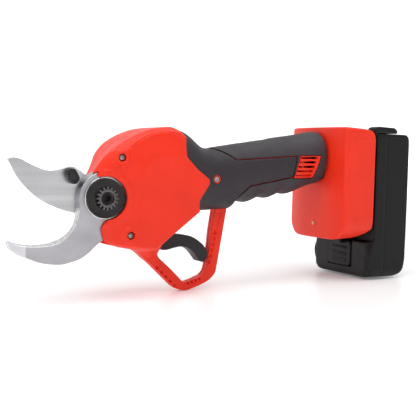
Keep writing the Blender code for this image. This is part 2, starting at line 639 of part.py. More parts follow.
def planet_gear(name, parent):
    shop = Workshop(parent)
    turn = math.pi / PLANET_TEETH
    outline = gear_outline(PLANET_TEETH, GEARBOX_MODULE, 0.9, 1.15, 0.05, turn)
    planet = shop.rings(name, along(outline, PLANET_SPAN))
    cut(planet, shop.rod("bore", 1.62, 0, 90, axis="Z", segments=12))
    return finish(planet, "gear_steel")


def head_frame(shop, drive_shop):
    """The cast housing that holds the pivot bolt, the pinion's bearing and the gearbox."""
    frame = shop.rod("head_frame", 12.6, 2.4, 14.2)
    c, s = math.cos(DRIVE_TILT), math.sin(DRIVE_TILT)
    web = [(a * c - b * s, a * s + b * c) for a, b in ((0, -11.5), (FLANGE_SPAN[1] - 0.5, -11.5),
                                                      (FLANGE_SPAN[1] - 0.5, 11.5), (0, 11.5))]
    join(frame, shop.plate("web", web, 9.6, 13.6))
    join(frame, drive_shop.tube("bearing_seat", 8.15, 12.2, *FRAME_RING_SPAN, axis="Z"))
    join(frame, drive_shop.tube("flange", 3.6, 16.8, *FLANGE_SPAN, axis="Z"))
    cut(frame, shop.rod("bore", BOLT_R + 0.15, -60, 60))
    return finish(frame, "aluminium")


def trigger_pieces(shop):
    """The finger lever, turning on its pin inside the yoke."""
    x, z = TRIGGER_PIVOT
    lever = shop.plate("trigger", TRIGGER_BLADE, -TRIGGER_HALF, TRIGGER_HALF)
    cut(lever, shop.rod("bore", TRIGGER_PIN_R + 0.1, -20, 20, centre=(x, 0, z), segments=12))
    cut(lever, shop.rod("magnet_pocket", 2.2, -3, 20, centre=(51, 0, -30.5), segments=12))
    finish(lever, "black_plastic")
    finish(shop.rod("trigger_magnet", 2.0, -2.7, 2.7, centre=(51, 0, -30.5), segments=12), "magnet")


def coil(shop, name, centre, radius, wire, low, high, turns, slot, axis):
    """A helical spring."""
    steps, around = turns * 8, 5
    rings = []
    for i in range(steps + 1):
        share = i / steps
        angle = 2 * math.pi * turns * share
        ring = []
        for j in range(around):
            phi = 2 * math.pi * j / around
            reach = radius + wire * math.cos(phi)
            height = low + wire + (high - low - 2 * wire) * share + wire * math.sin(phi)
            ring.append(on_axis(axis, centre, reach, angle, height))
        rings.append(ring)
    return finish(shop.rings(name, rings), slot)


def box_outlines(grow):
    """Side, plan and front outlines of the box that carries the battery dock."""
    x0, x1, z0, z1 = BOX
    x0, x1, z0, z1, half = x0 - grow, x1 + grow, z0 - grow, z1 + grow, BOX_HALF + grow
    side = [(x0, z0), (x1 - 14, z0 + 1.4), (x1, z0 + 7.6)] + arc((x1 - 8, z1 - 9.4), 8, 0, 90, 5) + [(x0, z1)]
    plan = [(x1, half)] + arc((x0 + 9, half - 9), 9, 90, 180, 5) + arc((x0 + 9, 9 - half), 9, 180, 270, 5) + [(x1, -half)]
    front = rounded((-half, z0), (half, z1), 10, 5)
    return side, plan, front


def box_solid(shop, name, grow, rear):
    side, plan, front = box_outlines(grow)
    solid = shop.plate(name, side, -60, 60)
    keep(solid, shop.rings("plan", [[(x, y, z) for x, y in plan] for z in (-90, 90)]))
    keep(solid, shop.rings("front", [[(x, y, z) for y, z in front] for x in (150, rear)]))
    return solid


def battery_housing(shop):
    box = box_solid(shop, "battery_housing", 0, 260)
    cut(box, box_solid(shop, "inside", -2.6, 222.2))
    y0, y1, z0, z1 = -34.0, 34.0, -24.0, 47.0
    cut(box, shop.rings("rear_opening", [[(x, y, z) for y, z in rounded((y0, z0), (y1, z1), 6)] for x in (200, 240)]))
    cut(box, shop.rings("wire_port", [[(x, y, z) for y, z in rounded((-14, 14), (14, 46), 6)] for x in (180, 200)]))
    cut(box, shop.rod("lens_hole", 1.7, 185, 205, axis="X", centre=(0, LED[1], LED[2]), segments=12))
    cut(box, shop.block("latch_slot", (214, 219), (-8.5, 8.5), (-60, -29)))
    finish(box, "red_plastic")
    finish(shop.rod("indicator_lens", 1.5, 191.2, 195.5, axis="X", centre=(0, LED[1], LED[2]), segments=12), "lens")


def dock(shop):
    """The black rear of the box: cover plate, T rail, terminal block and the hood over the pack's end."""
    plate = shop.rings("battery_dock", [[(x, y, z) for y, z in rounded((-33.6, -23.6), (33.6, 46.6), 6)] for x in (222.4, 226.2)])
    low, high = RAIL
    join(plate, shop.block("neck", (225.5, 229.4), (-19, 19), (low, high)))
    join(plate, shop.block("flange", (229.0, 231.6), (-23, 23), (low, high)))
    hood = shop.plate("hood", [(226.0, 40), (226.0, 53.0), (226.0, 57.4), (246.4, 56.6), (248, 54.6), (248, 52.5),
                               (227.0, 52.5), (227.0, 40)], -HOOD_HALF, HOOD_HALF)
    join(plate, hood)
    join(plate, shop.block("hood_root", (223.4, 226.6), (-29, 29), (38, 46)))
    cut(plate, shop.block("blade_pocket", (226.8, 240), (-12, 12), (low - 5, 30)))
    finish(plate, "black_plastic")
    block = shop.block("terminal_block", (227.2, 235.6), (-11.5, 11.5), (20, 29.6))
    for side in (-1, 1):
        reach = sorted((side * 5.4, side * 7.0))
        cut(block, shop.block("slot", (229, 234.4), reach, (0, 27)))
    finish(block, "black_plastic")
    for name, side in (("terminal_positive", 1), ("terminal_negative", -1)):
        reach = sorted((side * 5.7, side * 6.7))
        finish(shop.block(name, (229.4, 234.0), reach, (6, 26.6)), "copper")


def battery_pieces(shop):
    x0, x1, z0, z1 = BATTERY
    side = arc((x1 - 12, z0 + 12), 12, 270, 360, 5) + arc((x1 - 6, z1 - 6), 6, 0, 90, 4)
    side += [(x0, z1), (x0, -36.0), (BLOCK_FRONT + 1.5, -36.0), (BLOCK_FRONT, -37.5), (BLOCK_FRONT, z0 + 4),
             (BLOCK_FRONT + 3.5, z0)]
    front = rounded((-BATTERY_HALF, z0), (BATTERY_HALF, z1), 9, 4)
    case = shop.plate("battery_case", side, -BATTERY_HALF, BATTERY_HALF)
    keep(case, shop.rings("ends", [[(x, y, z) for y, z in front] for x in (150, 300)]))
    inner = [(x1 - 2.6, z0 + 12), (x1 - 2.6, z1 - 5), (x1 - 5, z1 - 2.6), (180, z1 - 2.6), (180, -33.0),
             (180, -62.8), (x1 - 12, z0 + 2.6), (x1 - 6, z0 + 6)]
    cut(case, shop.plate("inside", inner, -34.4, 34.4))
    cut(case, shop.block("rail_exit", (220, 233.2), (-24.5, 24.5), (40, 60)))
    cut(case, shop.block("contact_exit", (219, 236.6), (-12.6, 12.6), (39, 61)))
    finish(case, "black_plastic")
    cover = shop.block("battery_cover", (x0, 237.6), (-34.1, 34.1), (-62.4, z1 - 2.9))
    join(cover, shop.block("foot_block", (BLOCK_FRONT, x0 + 1), (-34.1, 34.1), (-62.4, -36.6)))
    cut(cover, shop.block("neck", (220, 229.8), (-19.5, 19.5), (RAIL[0] - 3, 80)))
    cut(cover, shop.block("channel", (228.4, 232.4), (-23.6, 23.6), (RAIL[0] - 3, 80)))
    cut(cover, shop.block("contact_bay", (226, 236.4), (-12.2, 12.2), (RAIL[0] - 3, 80)))
    cut(cover, shop.block("latch_bay", (210, 230), (-15.4, 15.4), (-58.4, -30)))
    finish(cover, "black_plastic")
    for name, way in (("contact_positive", 1), ("contact_negative", -1)):
        clip = shop.block(name, (229.6, 233.8), sorted((way * 4.6, way * 7.8)), (-8, 15))
        cut(clip, shop.block("mouth", (220, 240), sorted((way * 5.4, way * 7.0)), (-5, 20)))
        finish(clip, "copper")
    for number in range(CELLS):
        height = z0 + 14.6 + number * (2 * CELL_R + 2.0)
        cell = shop.rod(f"battery_cell_{number + 1}", CELL_R, -CELL_LONG / 2, CELL_LONG / 2,
                        centre=(247.6, 0, height), segments=16)
        finish(cell, "cell_wrap")


def latch(shop):
    button = shop.block("battery_latch", (BLOCK_FRONT - 0.8, BLOCK_FRONT + 3.4), (-15, 15), (-58, -37.2))
    join(button, shop.block("tongue", (215.6, 217.8), (-7.6, 7.6), (-37.4, -31.5)))
    join(button, shop.block("bridge", (215.6, 223), (-7.6, 7.6), (-38.8, -36.6)))
    for number in range(LATCH_RIBS):
        height = -54 + number * 5
        join(button, shop.block("rib", (BLOCK_FRONT - 1.6, BLOCK_FRONT), (-10, 10), (height, height + 2)))
    finish(button, "black_plastic")


def electronics(shop):
    board = shop.block("controller_board", (203, 204.6), (-26, 26), (-14, 44))
    join(board, shop.block("mosfets", (204, 207.4), (-18, 18), (-8, 8)))
    join(board, shop.rod("capacitor", 5, 204, 216, axis="X", centre=(0, 14, 30), segments=16))
    finish(board, "board_green")
    finish(shop.block("trigger_sensor_board", (46, 60), (-7, 7), (-13.2, -12.0)), "board_green")
    sweep(shop, "motor_lead", 2.4, [(106, 0, 15.6), (125, 0, 20), (150, 0, 26), (175, 0, 30), (190, 0, 31), (201.8, 0, 31)])
    for name, side in (("battery_lead_positive", 1), ("battery_lead_negative", -1)):
        sweep(shop, name, 1.6, [(205.2, side * 8, 18), (212, side * 8, 18), (221.9, side * 8, 22)])


def sweep(shop, name, radius, path, around=8):
    """A cable through the given points, each section square to X."""
    rings = []
    for x, y, z in path:
        rings.append([(x, y + radius * math.cos(2 * math.pi * i / around), z + radius * math.sin(2 * math.pi * i / around))
                      for i in range(around)])
    return finish(shop.rings(name, rings), "cable")


def build():
    clear_scene()
    tool = empty("pruner", PIVOT_WORLD / MM)
    blade_axis = empty("blade_axis", (0, 0, 0), tool)
    trigger_axis = empty("trigger_axis", (TRIGGER_PIVOT[0], 0, TRIGGER_PIVOT[1]), tool)
    # Local Z along the drive axis, local X towards -Y
    to_drive = Matrix(((0, math.sin(DRIVE_TILT), math.cos(DRIVE_TILT)), (-1, 0, 0),
                       (0, -math.cos(DRIVE_TILT), math.sin(DRIVE_TILT))))
    drive_axis = empty("drive_axis", (0, 0, 0), tool, to_drive.to_euler())
    shop, drive_shop = Workshop(tool), Workshop(drive_axis)
    shells(shop)
    grips(shop)
    screws(shop)
    fixed_blade(shop)
    blade_pieces(Workshop(blade_axis))
    pivot_stack(shop)
    drive_pieces(drive_shop)
    distance = GEARBOX_MODULE * (SUN_TEETH + PLANET_TEETH) / 2
    for number in range(PLANETS):
        angle = 2 * math.pi * number / PLANETS
        place = (distance * math.cos(angle), distance * math.sin(angle), 0)
        planet_gear(f"planet_gear_{number + 1}", empty(f"planet_axis_{number + 1}", place, drive_axis, (0, 0, angle)))
    head_frame(shop, drive_shop)
    x, z = TRIGGER_PIVOT
    trigger_pieces(shop)
    finish(shop.rod("trigger_pin", TRIGGER_PIN_R, -9, 9, centre=(x, 0, z), segments=12), "gear_steel")
    x, low, high = TRIGGER_SPRING
    coil(shop, "trigger_spring", (x, 0, 0), 2.6, 0.4, low, high, 5, "gear_steel", "Z")
    battery_housing(shop)
    dock(shop)
    battery_pieces(shop)
    latch(shop)
    coil(shop, "latch_spring", (0, 0, -48), 2.6, 0.4, BLOCK_FRONT + 3.8, 229.6, 3, "gear_steel", "X")
    electronics(shop)


build()
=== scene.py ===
"""Look of the battery electric pruner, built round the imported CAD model.

Moulded and machined pieces are sampled as distance fields on a fine grid and skinned, so that their edges
are rounded as on real parts. Lengths are in millimetres from the blade pivot on the tool's mid-plane:
+X runs back to the battery, +Z runs up and -Y is the tool's left side, which faces the camera.
"""

import math

import bmesh
import bpy
import numpy as np
from mathutils import Matrix, Vector


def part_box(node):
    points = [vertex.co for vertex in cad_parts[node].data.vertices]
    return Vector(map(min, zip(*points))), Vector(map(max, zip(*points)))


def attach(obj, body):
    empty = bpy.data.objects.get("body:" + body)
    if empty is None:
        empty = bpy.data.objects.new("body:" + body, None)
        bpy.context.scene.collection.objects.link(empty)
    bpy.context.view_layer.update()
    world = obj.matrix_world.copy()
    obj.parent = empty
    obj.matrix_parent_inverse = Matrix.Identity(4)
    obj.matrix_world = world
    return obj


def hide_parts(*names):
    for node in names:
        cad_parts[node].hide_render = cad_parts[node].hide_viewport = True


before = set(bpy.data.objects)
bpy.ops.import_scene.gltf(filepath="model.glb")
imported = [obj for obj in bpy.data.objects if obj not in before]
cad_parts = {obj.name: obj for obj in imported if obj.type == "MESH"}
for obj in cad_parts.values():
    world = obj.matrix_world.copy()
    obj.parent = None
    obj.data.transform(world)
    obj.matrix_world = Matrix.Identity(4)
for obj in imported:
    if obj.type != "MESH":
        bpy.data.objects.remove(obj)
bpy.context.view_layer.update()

MM = 0.001
BOLT_BOX, CASE_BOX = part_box("pivot_bolt"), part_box("battery_case")
ORIGIN = Vector(((BOLT_BOX[0].x + BOLT_BOX[1].x) / 2, (CASE_BOX[0].y + CASE_BOX[1].y) / 2,
                 (BOLT_BOX[0].z + BOLT_BOX[1].z) / 2))

# Grid steps
SHELL_STEP = 0.5
BOX_STEP = 0.6
FINE_STEP = 0.35
NUT_STEP = 0.22
KEPT_FACES = 0.45  # share of faces kept when a skin is thinned
TURNED_SIDES = 96
CORNERS = ((-1, -1), (1, -1), (1, 1), (-1, 1))

# Head: half width, how far the far edge draws in, and how the cheek falls away outside its flat
HEAD_HALF = 27.0
FAR_DRAW = 3.6
CHEEK_TILT, CHEEK_DROP = 0.22, 4.5
FLAT_HALF = 19.0
SCREW_PAD, SCREW_PAD_R = 26.5, (4.4, 7.0)
RING_RISE, RING_R = 0.55, (19.2, 20.4)
SCREW_POCKET_R, SCREW_POCKET_FLOOR, SCREW_BOSS_R = 3.1, -23.2, 3.9
CREASE, RIDGE_Y = 0.28, 8
WALL = 2.4
SEAM = 0.15

# Blades and pivot
BLADE_SLOT = (-20.4, -9.2)
FIXED_FACE, FIXED_BACK = -20.1, -14.6
MOVING_FACE, MOVING_BACK = -14.3, -9.8
NUT_FACE, NUT_BACK, SPLINE_FACE = -23.0, -21.6, -26.7
GUARD_HALF = 4.0
TRIGGER_HALF = 6.0
HUB_R, HUB_BACK_R = 18.3, 19.6
MOVING_HUB_R = 14.4
BEVEL_WIDTH = 4.2
FIXED_TIP = -55.6
NUT_R, BOLT_R, BUSH_R = 14.1, 4.0, 6.0
SPLINE_TEETH, SPLINE_R, SPLINE_ROOT = 16, 8.1, 6.2
RECESS_R = 15.2
COLLAR_RING_R = 14.9

# Handle core, box and battery: (front, back, bottom, top) and half widths
CORE_INSET, CORE_WALL = 2.3, 2.0
HANDLE_POWER = 2.3
BOX = (191.5, 225.5, -34.5, 57.0)
BOX_HALF = 38.5
BOX_CORNER, BOX_FOOT_R, BOX_SWEEP = 3.5, 18.0, 5.2
BOX_WALL = 2.6
RIDGE_X = 205.6
BATTERY = (227.4, 261.4, -66.0, 52.0)
BATTERY_HALF = 37.5
BLOCK_FRONT = 221.6
RAIL = (-14.0, 44.0)
HOOD_HALF = 36.6
FOOT_HALF, FOOT_TOP, FOOT_R = 34.4, -35.4, 8.5
LATCH_HALF, LATCH_RIBS, LATCH_PITCH = 14.8, 3, 5

# Side-view outlines, as runs of points: a run of more than two is a smooth curve, and straight lines join
# each run to the next
HEAD_MID = [
    [(1, 15.2), (4, 22), (7, 30), (12.5, 37.3), (20.6, 43), (28.7, 46.8), (37, 49.5), (48.6, 51.2),
     (53, 50.6), (57.4, 48.8), (60.8, 46.2), (62.6, 43.2)],
    [(62.8, 30.8)],
    [(70.6, 22), (78.5, 15), (79.8, 11.5), (78.6, 8.3), (73, 0), (71.7, -4), (72.5, -10.5)],
    [(40, -38.5), (33, -38.4), (26, -37.6), (10, -34.5), (3.4, -32.8), (-5, -29)],
    [(-5, -29), (-3.2, -20.6), (1.4, -15)],
    [(1.4, -15), (-2.6, -8), (-3, 0), (-2.6, 8), (-2.4, 15.2)],
]
HEAD_SIDE = [
    [(-2, 15), (0, 18.2), (1.7, 21.7), (3.8, 28), (5.6, 33.6)],
    [(16.2, 34.4), (22.5, 39.1), (30.2, 43.8), (37.3, 46.4), (44, 47.4), (51, 46.9), (56, 45.8),
     (60.7, 44.2)],
    [(60.8, 30)],
    [(70, 21), (78.5, 15), (79.8, 11.5), (78.6, 8.3), (73, 0), (71.7, -4), (72.2, -10)],
    [(38, -35.5), (32, -35.4), (26, -34.6), (10, -32.2), (3.4, -30.8), (-5, -28)],
    [(-5, -28), (-2.4, -20.6), (2.6, -14.6)],
    [(2.6, -14.6), (0, -8), (0, 0), (-0.6, 8), (-2, 15)],
]
# How far the visor reaches forward over the blades, by depth: (y, reach)
NOSE = [(-27, 7.0), (-19, 10.5), (-14, 9.6), (-8, 6.4), (0, 3.6), (10, 1.2), (20, 0)]
CHEEK_FLAT = [
    [(25, -60)],
    [(25, 8), (26, 16), (29.5, 24), (37, 29.5), (46, 31.6), (60, 31)],
    [(140, 31), (140, -60)],
]
# Handle sections: x, bottom, top, half width
HANDLE = [(58, -15, 50.6, 27), (64, -14, 49.8, 26.8), (70, -12.5, 47, 25.6), (76, -11.6, 42.4, 23.8),
          (82, -11, 38.4, 21.8), (88, -10.6, 36.8, 20.4), (95, -10.2, 37.6, 19.7), (102, -9.8, 38.8, 19.4),
          (108.6, -9.2, 39.8, 19.3), (111.6, -5.2, 40.3, 19.3), (117, -4.0, 41.2, 19.3),
          (123.6, -4.6, 42.1, 19.3), (129, -3.0, 43, 19.3), (135, -0.6, 43.9, 19.3),
          (142.9, -1.4, 45, 19.3), (148, 0.2, 46.2, 19.4), (154, 2.4, 47.2, 19.5), (161, 1.8, 48.2, 19.7),
          (168, 3.8, 49.2, 19.9), (176, 7.0, 50.6, 20), (182, 9, 51.8, 20.2), (187, 10, 52.4, 20.2),
          (191.6, 11, 52.6, 20)]
TONGUE = [
    [(54, 60)],
    [(84, 60), (86, 40), (90, 37.4), (95, 35.5), (101, 32.4), (108, 28)],
    [(162, 32), (158.6, 16)],
    [(120, 9), (116, 4.4), (110.5, -2.5), (107, -14)],
    [(54, -40)],
]
VENT = [[(165.4, 32.6), (184.2, 33)], [(179.2, 15.6), (160, 15)]]
VENT_SLOTS = (31.0, 27.6, 24.0, 20.6, 17.2)
GUARD_OUTER = [
    [(30, -34), (38, -44.6)],
    [(62.6, -67.4), (67.4, -70.2), (73.8, -71.4), (80, -70)],
    [(80, -70), (87, -67.6), (92.5, -65.2), (96.8, -62), (99.4, -58.4), (100.6, -52.9)],
    [(109, -4), (90, -4)],
    [(60, -20)],
]
GUARD_INNER = [
    [(97.4, -9), (94.8, -26.4), (93.8, -37.1), (91.8, -51.4), (90.4, -57), (87, -60.6)],
    [(87, -60.6), (79.5, -63.4), (73.6, -64.9), (70.9, -64.2)],
    [(70.9, -64.2), (60.4, -54), (50.9, -45.6), (48.7, -42.6), (48.8, -39)],
    [(86, -8)],
]
YOKE = [[(34, -30), (37, -40), (43, -43.4), (48, -40), (51, -35), (56, -28)]]
TRIGGER_BLADE = [
    [(47, -27.5), (56, -26.6), (64, -28), (72.9, -29), (79.2, -31.2), (86, -35.8), (90, -40.6), (90.8, -44),
     (89.8, -47.6), (87.6, -49.9), (84.4, -49.2)],
    [(84.4, -49.2), (81.4, -45.2), (77.7, -41.2), (72.9, -38.4), (67.3, -37.6), (62, -38.4), (55, -39.8),
     (49.5, -39), (44.5, -39.5), (40.6, -36.6), (40.6, -33), (43, -29.6), (47, -27.5)],
]
TRIGGER_PIVOT = (44.5, -35.0)
TRIGGER_MAGNET = (51.0, -30.5)
TRIGGER_SPRING_X = 54.0

MOVING_TOP = [(-66.4, 25.7), (-64.2, 26.9), (-61.6, 27.1), (-57.4, 26.1), (-53.7, 24.1), (-47.5, 21.3),
              (-41.3, 19.2), (-35, 18.7), (-28.7, 20), (-22, 21.8), (-17.2, 19.5), (-11.3, 15.8),
              (-6, 13.4)]
MOVING_EDGE = [(-14.6, -11.6), (-19.3, -10.6), (-28.4, -8.4), (-34.7, -5.9), (-41.1, -3.1), (-47.3, 0.8),
               (-53.5, 6.2), (-59.6, 13), (-63.9, 20.1), (-66.4, 25.7)]
FIXED_INNER = [(-18.2, -6), (-18.6, -13), (-20.6, -19.4), (-23.8, -23.7), (-28.2, -27.8), (-33.2, -30.8),
               (-38.8, -32.1), (-45.6, -32.6), (-53, -32.5), (-60.8, -31.1), (-67.8, -28.4)]
FIXED_INNER_BACK = [(-19.6, -6), (-19.8, -12.5), (-20.6, -16.6), (-23.1, -21.7), (-28.2, -26.6),
                    (-34.5, -29.6), (-40.8, -31.2), (-46, -31.7), (-52.3, -31.8), (-60.2, -30.5),
                    (-66.6, -28.4)]
FIXED_OUTER = [(-67.8, -29.7), (-66.2, -33.9), (-60.8, -37.7), (-53.5, -40.6), (-45.5, -43.6),
               (-36.1, -45.1), (-29.8, -45.2), (-23.5, -43.9), (-17, -41.8), (-10.6, -37.6), (-5.5, -32.8),
               (2, -27), (12, -14)]

HEAD_SCREWS = {"head_screw_upper": (10.7, 28.5), "head_screw_lower": (18.2, -26.2)}
COLLAR_SCREW = (89.8, 13.7)
MAGNET_HOLDER = (-22.6, 15.0)
LED, LED_R = (-2.0, -22.0), 1.7

# Camera and room
CAMERA_SENSOR = 36
CAMERA_PLACE = (-222.6, -571.0, 31.9)
CAMERA_LOOK = (0.4853, 0.8719, -0.0649)
CAMERA_UP = (0.0102, 0.0686, 0.9976)
CAMERA_LENS = 72.86
FLOOR_POINT = (70.7, 0.0, -71.6)
FLOOR_RISE = math.radians(1.75)
BACKDROP = 1.3
PLASTIC_SHINE = 0.3


# -------- distance fields

class Space:
    """A block of space sampled on a grid."""

    def __init__(self, low, high, step):
        self.low, self.step = np.array(low, float), step
        lines = [l + step * np.arange(int(math.ceil((h - l) / step)) + 1) for l, h in zip(low, high)]
        lines = [line.astype(np.float32) for line in lines]
        self.x, self.y, self.z = lines[0][:, None, None], lines[1][None, :, None], lines[2][None, None, :]


def run_points(run, steps):
    """Points of one run: a line, or a curve through its points."""
    if len(run) == 2:
        return list(run)
    points = []
    ends = [run[0]] + list(run) + [run[-1]]
    for a, b, c, d in zip(ends, ends[1:], ends[2:], ends[3:]):
        for i in range(steps):
            t = i / steps
            points.append(tuple(
                0.5 * (2 * q + (r - p) * t + (2 * p - 5 * q + 4 * r - s) * t * t
                       + (3 * q - p - 3 * r + s) * t ** 3) for p, q, r, s in zip(a, b, c, d)))
    return points + [run[-1]]


def path(runs, steps=5):
    points = []
    for run in runs:
        for point in run_points(run, steps):
            if not points or math.dist(point, points[-1]) > 1e-6:
                points.append(point)
    if math.dist(points[0], points[-1]) < 1e-6:
        points.pop()
    return points


def outline_distance(u, v, outline):
    """Distance to a closed outline in the plane of u and v, negative inside."""
    u, v = np.broadcast_arrays(u, v)
    best = np.full(u.shape, 1e9, np.float32)
    inside = np.zeros(u.shape, bool)
    for (au, av), (bu, bv) in zip(outline, outline[1:] + outline[:1]):
        eu, ev = bu - au, bv - av
        share = np.clip(((u - au) * eu + (v - av) * ev) / (eu * eu + ev * ev), 0, 1)
        best = np.minimum(best, (u - au - share * eu) ** 2 + (v - av - share * ev) ** 2)
        if av != bv:
            inside ^= ((av > v) != (bv > v)) & (u < eu * (v - av) / ev + au)
    return np.where(inside, -1, 1).astype(np.float32) * np.sqrt(best)


def both(a, b, r=0.0):
    """Where both fields are inside; the edge they make is rounded to radius r."""
    if r == 0:
        return np.maximum(a, b)
    return np.minimum(np.maximum(a, b), -r) + np.hypot(np.maximum(a + r, 0), np.maximum(b + r, 0))


def either(a, b, r=0.0):
    """Where one field or the other is inside; the corner they make is filled to radius r."""
    return -both(-a, -b, r)


def without(a, b, r=0.0):
    return both(a, -b, r)


def melt(a, b, k):
    """Both fields run smoothly into one over a distance k."""
    h = np.clip(0.5 + 0.5 * (b - a) / k, 0, 1)
    return b + (a - b) * h - k * h * (1 - h)


def layer(value, low, high):
    return np.abs(value - (low + high) / 2) - (high - low) / 2


def side_view(s, runs):
    """Distance to a side-view outline given as runs."""
    return outline_distance(s.x, s.z, path(runs))


def front_view(s, low, high, radius, steps):
    """Distance to a round-cornered rectangle seen from the front, from corners (y, z)."""
    return outline_distance(s.y, s.z, rounded(low, high, radius, steps))


def plate(s, outline, low, high, r=0.0):
    return both(outline_distance(s.x, s.z, outline), layer(s.y, low, high), r)


def block(s, x, y, z, r=0.0):
    return both(both(layer(s.x, *x), layer(s.y, *y), r), layer(s.z, *z), r)


def rod(s, centre, radius, low, high, r=0.0):
    """A round bar along Y at (x, z)."""
    return both(np.hypot(s.x - centre[0], s.z - centre[1]) - radius, layer(s.y, low, high), r)


def ramp(value, low, high):
    t = np.clip((value - low) / (high - low), 0, 1)
    return t * t * (3 - 2 * t)


def soft_positive(value, softness):
    return (np.sqrt(value * value + softness * softness) + value) / 2


def skin(field, low, step):
    """Points and quads of a field's zero level, by averaging the crossings round each grid cell."""
    inside = field < 0
    cells = np.array(field.shape) - 1
    owners, places, quads = [], [], []
    for axis in range(3):
        first, second = [slice(None)] * 3, [slice(None)] * 3
        first[axis], second[axis] = slice(0, -1), slice(1, None)
        first, second = tuple(first), tuple(second)
        index = np.argwhere(inside[first] != inside[second])
        a, b = field[first][tuple(index.T)], field[second][tuple(index.T)]
        place = index.astype(float)
        place[:, axis] += a / (a - b)
        u, v = (axis + 1) % 3, (axis + 2) % 3
        corners = []
        for du, dv in ((0, 0), (1, 0), (1, 1), (0, 1)):
            cell = index.copy()
            cell[:, u] -= du
            cell[:, v] -= dv
            corners.append(np.ravel_multi_index(tuple(cell.T), tuple(cells)))
        quad = np.stack(corners, 1)
        quad[a > 0] = quad[a > 0][:, ::-1]
        quads.append(quad)
        owners += corners
        places += [place] * 4
    quads = np.concatenate(quads)
    owners, places = np.concatenate(owners), np.concatenate(places)
    used, index = np.unique(owners, return_inverse=True)
    count = np.bincount(index)
    points = np.stack([np.bincount(index, places[:, i]) / count for i in range(3)], 1)
    lookup = np.full(int(np.prod(cells)), -1, np.int64)
    lookup[used] = np.arange(len(used))
    return points * step + low, lookup[quads]


# -------- pieces

def placed(name, data):
    """A new object in the scene."""
    made = bpy.data.objects.new(name, data)
    bpy.context.scene.collection.objects.link(made)
    return made


def put(name, points, faces, nodes, slot, look=None, body="tool"):
    """A mesh from points in millimetres and faces, riding on a body and standing for CAD nodes."""
    mesh = bpy.data.meshes.new(name)
    world = np.asarray(points, float) * MM + np.array(ORIGIN)
    mesh.from_pydata(world.tolist(), [], [list(map(int, f)) for f in faces])
    mesh.validate()
    made = placed(name, mesh)
    made.data.materials.append(LOOKS[look or slot])
    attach(made, body)
    if nodes:
        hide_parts(*nodes)
    return made


def smoothed(made, angle):
    """Smooth shading, with sharp edges above an angle in degrees."""
    made.data.shade_smooth()
    made.data.set_sharp_from_angle(angle=math.radians(angle))


def apply_modifiers(obj):
    bpy.context.view_layer.update()
    evaluated = obj.evaluated_get(bpy.context.evaluated_depsgraph_get())
    mesh = bpy.data.meshes.new_from_object(evaluated)
    obj.modifiers.clear()
    obj.data = mesh


def moulded(name, field, s, nodes, slot, look=None, thin=KEPT_FACES, body="tool"):
    """A piece skinned from a field, with its flat areas thinned."""
    points, quads = skin(field, s.low, s.step)
    made = put(name, points, quads, nodes, slot, look, body)
    made.data.shade_smooth()
    step = made.modifiers.new("thin", "DECIMATE")
    step.ratio = thin
    apply_modifiers(made)
    smoothed(made, 50)
    return made


def ring_mesh(rings, closed=False):
    """Points and faces of a skin through rings of equal length."""
    count = len(rings[0])
    points = [point for ring in rings for point in ring]
    faces = []
    last = len(rings) if closed else len(rings) - 1
    for i in range(last):
        j = (i + 1) % len(rings)
        for k in range(count):
            m = (k + 1) % count
            faces.append((i * count + k, i * count + m, j * count + m, j * count + k))
    if not closed:
        faces.append(tuple(range(count))[::-1])
        faces.append(tuple(range((len(rings) - 1) * count, len(rings) * count)))
    return points, faces


def face_out(obj):
    bm = bmesh.new()
    bm.from_mesh(obj.data)
    bmesh.ops.recalc_face_normals(bm, faces=bm.faces)
    bm.to_mesh(obj.data)
    bm.free()


def resampled(points, count):
    """The same curve in evenly spaced points."""
    points = np.array(points, float)
    lengths = np.concatenate([[0], np.cumsum(np.linalg.norm(np.diff(points, axis=0), axis=1))])
    at = np.linspace(0, lengths[-1], count)
    return [tuple(float(np.interp(t, lengths, points[:, i])) for i in (0, 1)) for t in at]


def arc(centre, radius, start, end, steps):
    points = []
    for i in range(steps + 1):
        angle = math.radians(start + (end - start) * i / steps)
        points.append((centre[0] + radius * math.cos(angle), centre[1] + radius * math.sin(angle)))
    return points


def turned_point(point, centre, degrees):
    angle = math.radians(degrees)
    x, z = point[0] - centre[0], point[1] - centre[1]
    return (centre[0] + x * math.cos(angle) - z * math.sin(angle),
            centre[1] + x * math.sin(angle) + z * math.cos(angle))


# -------- materials

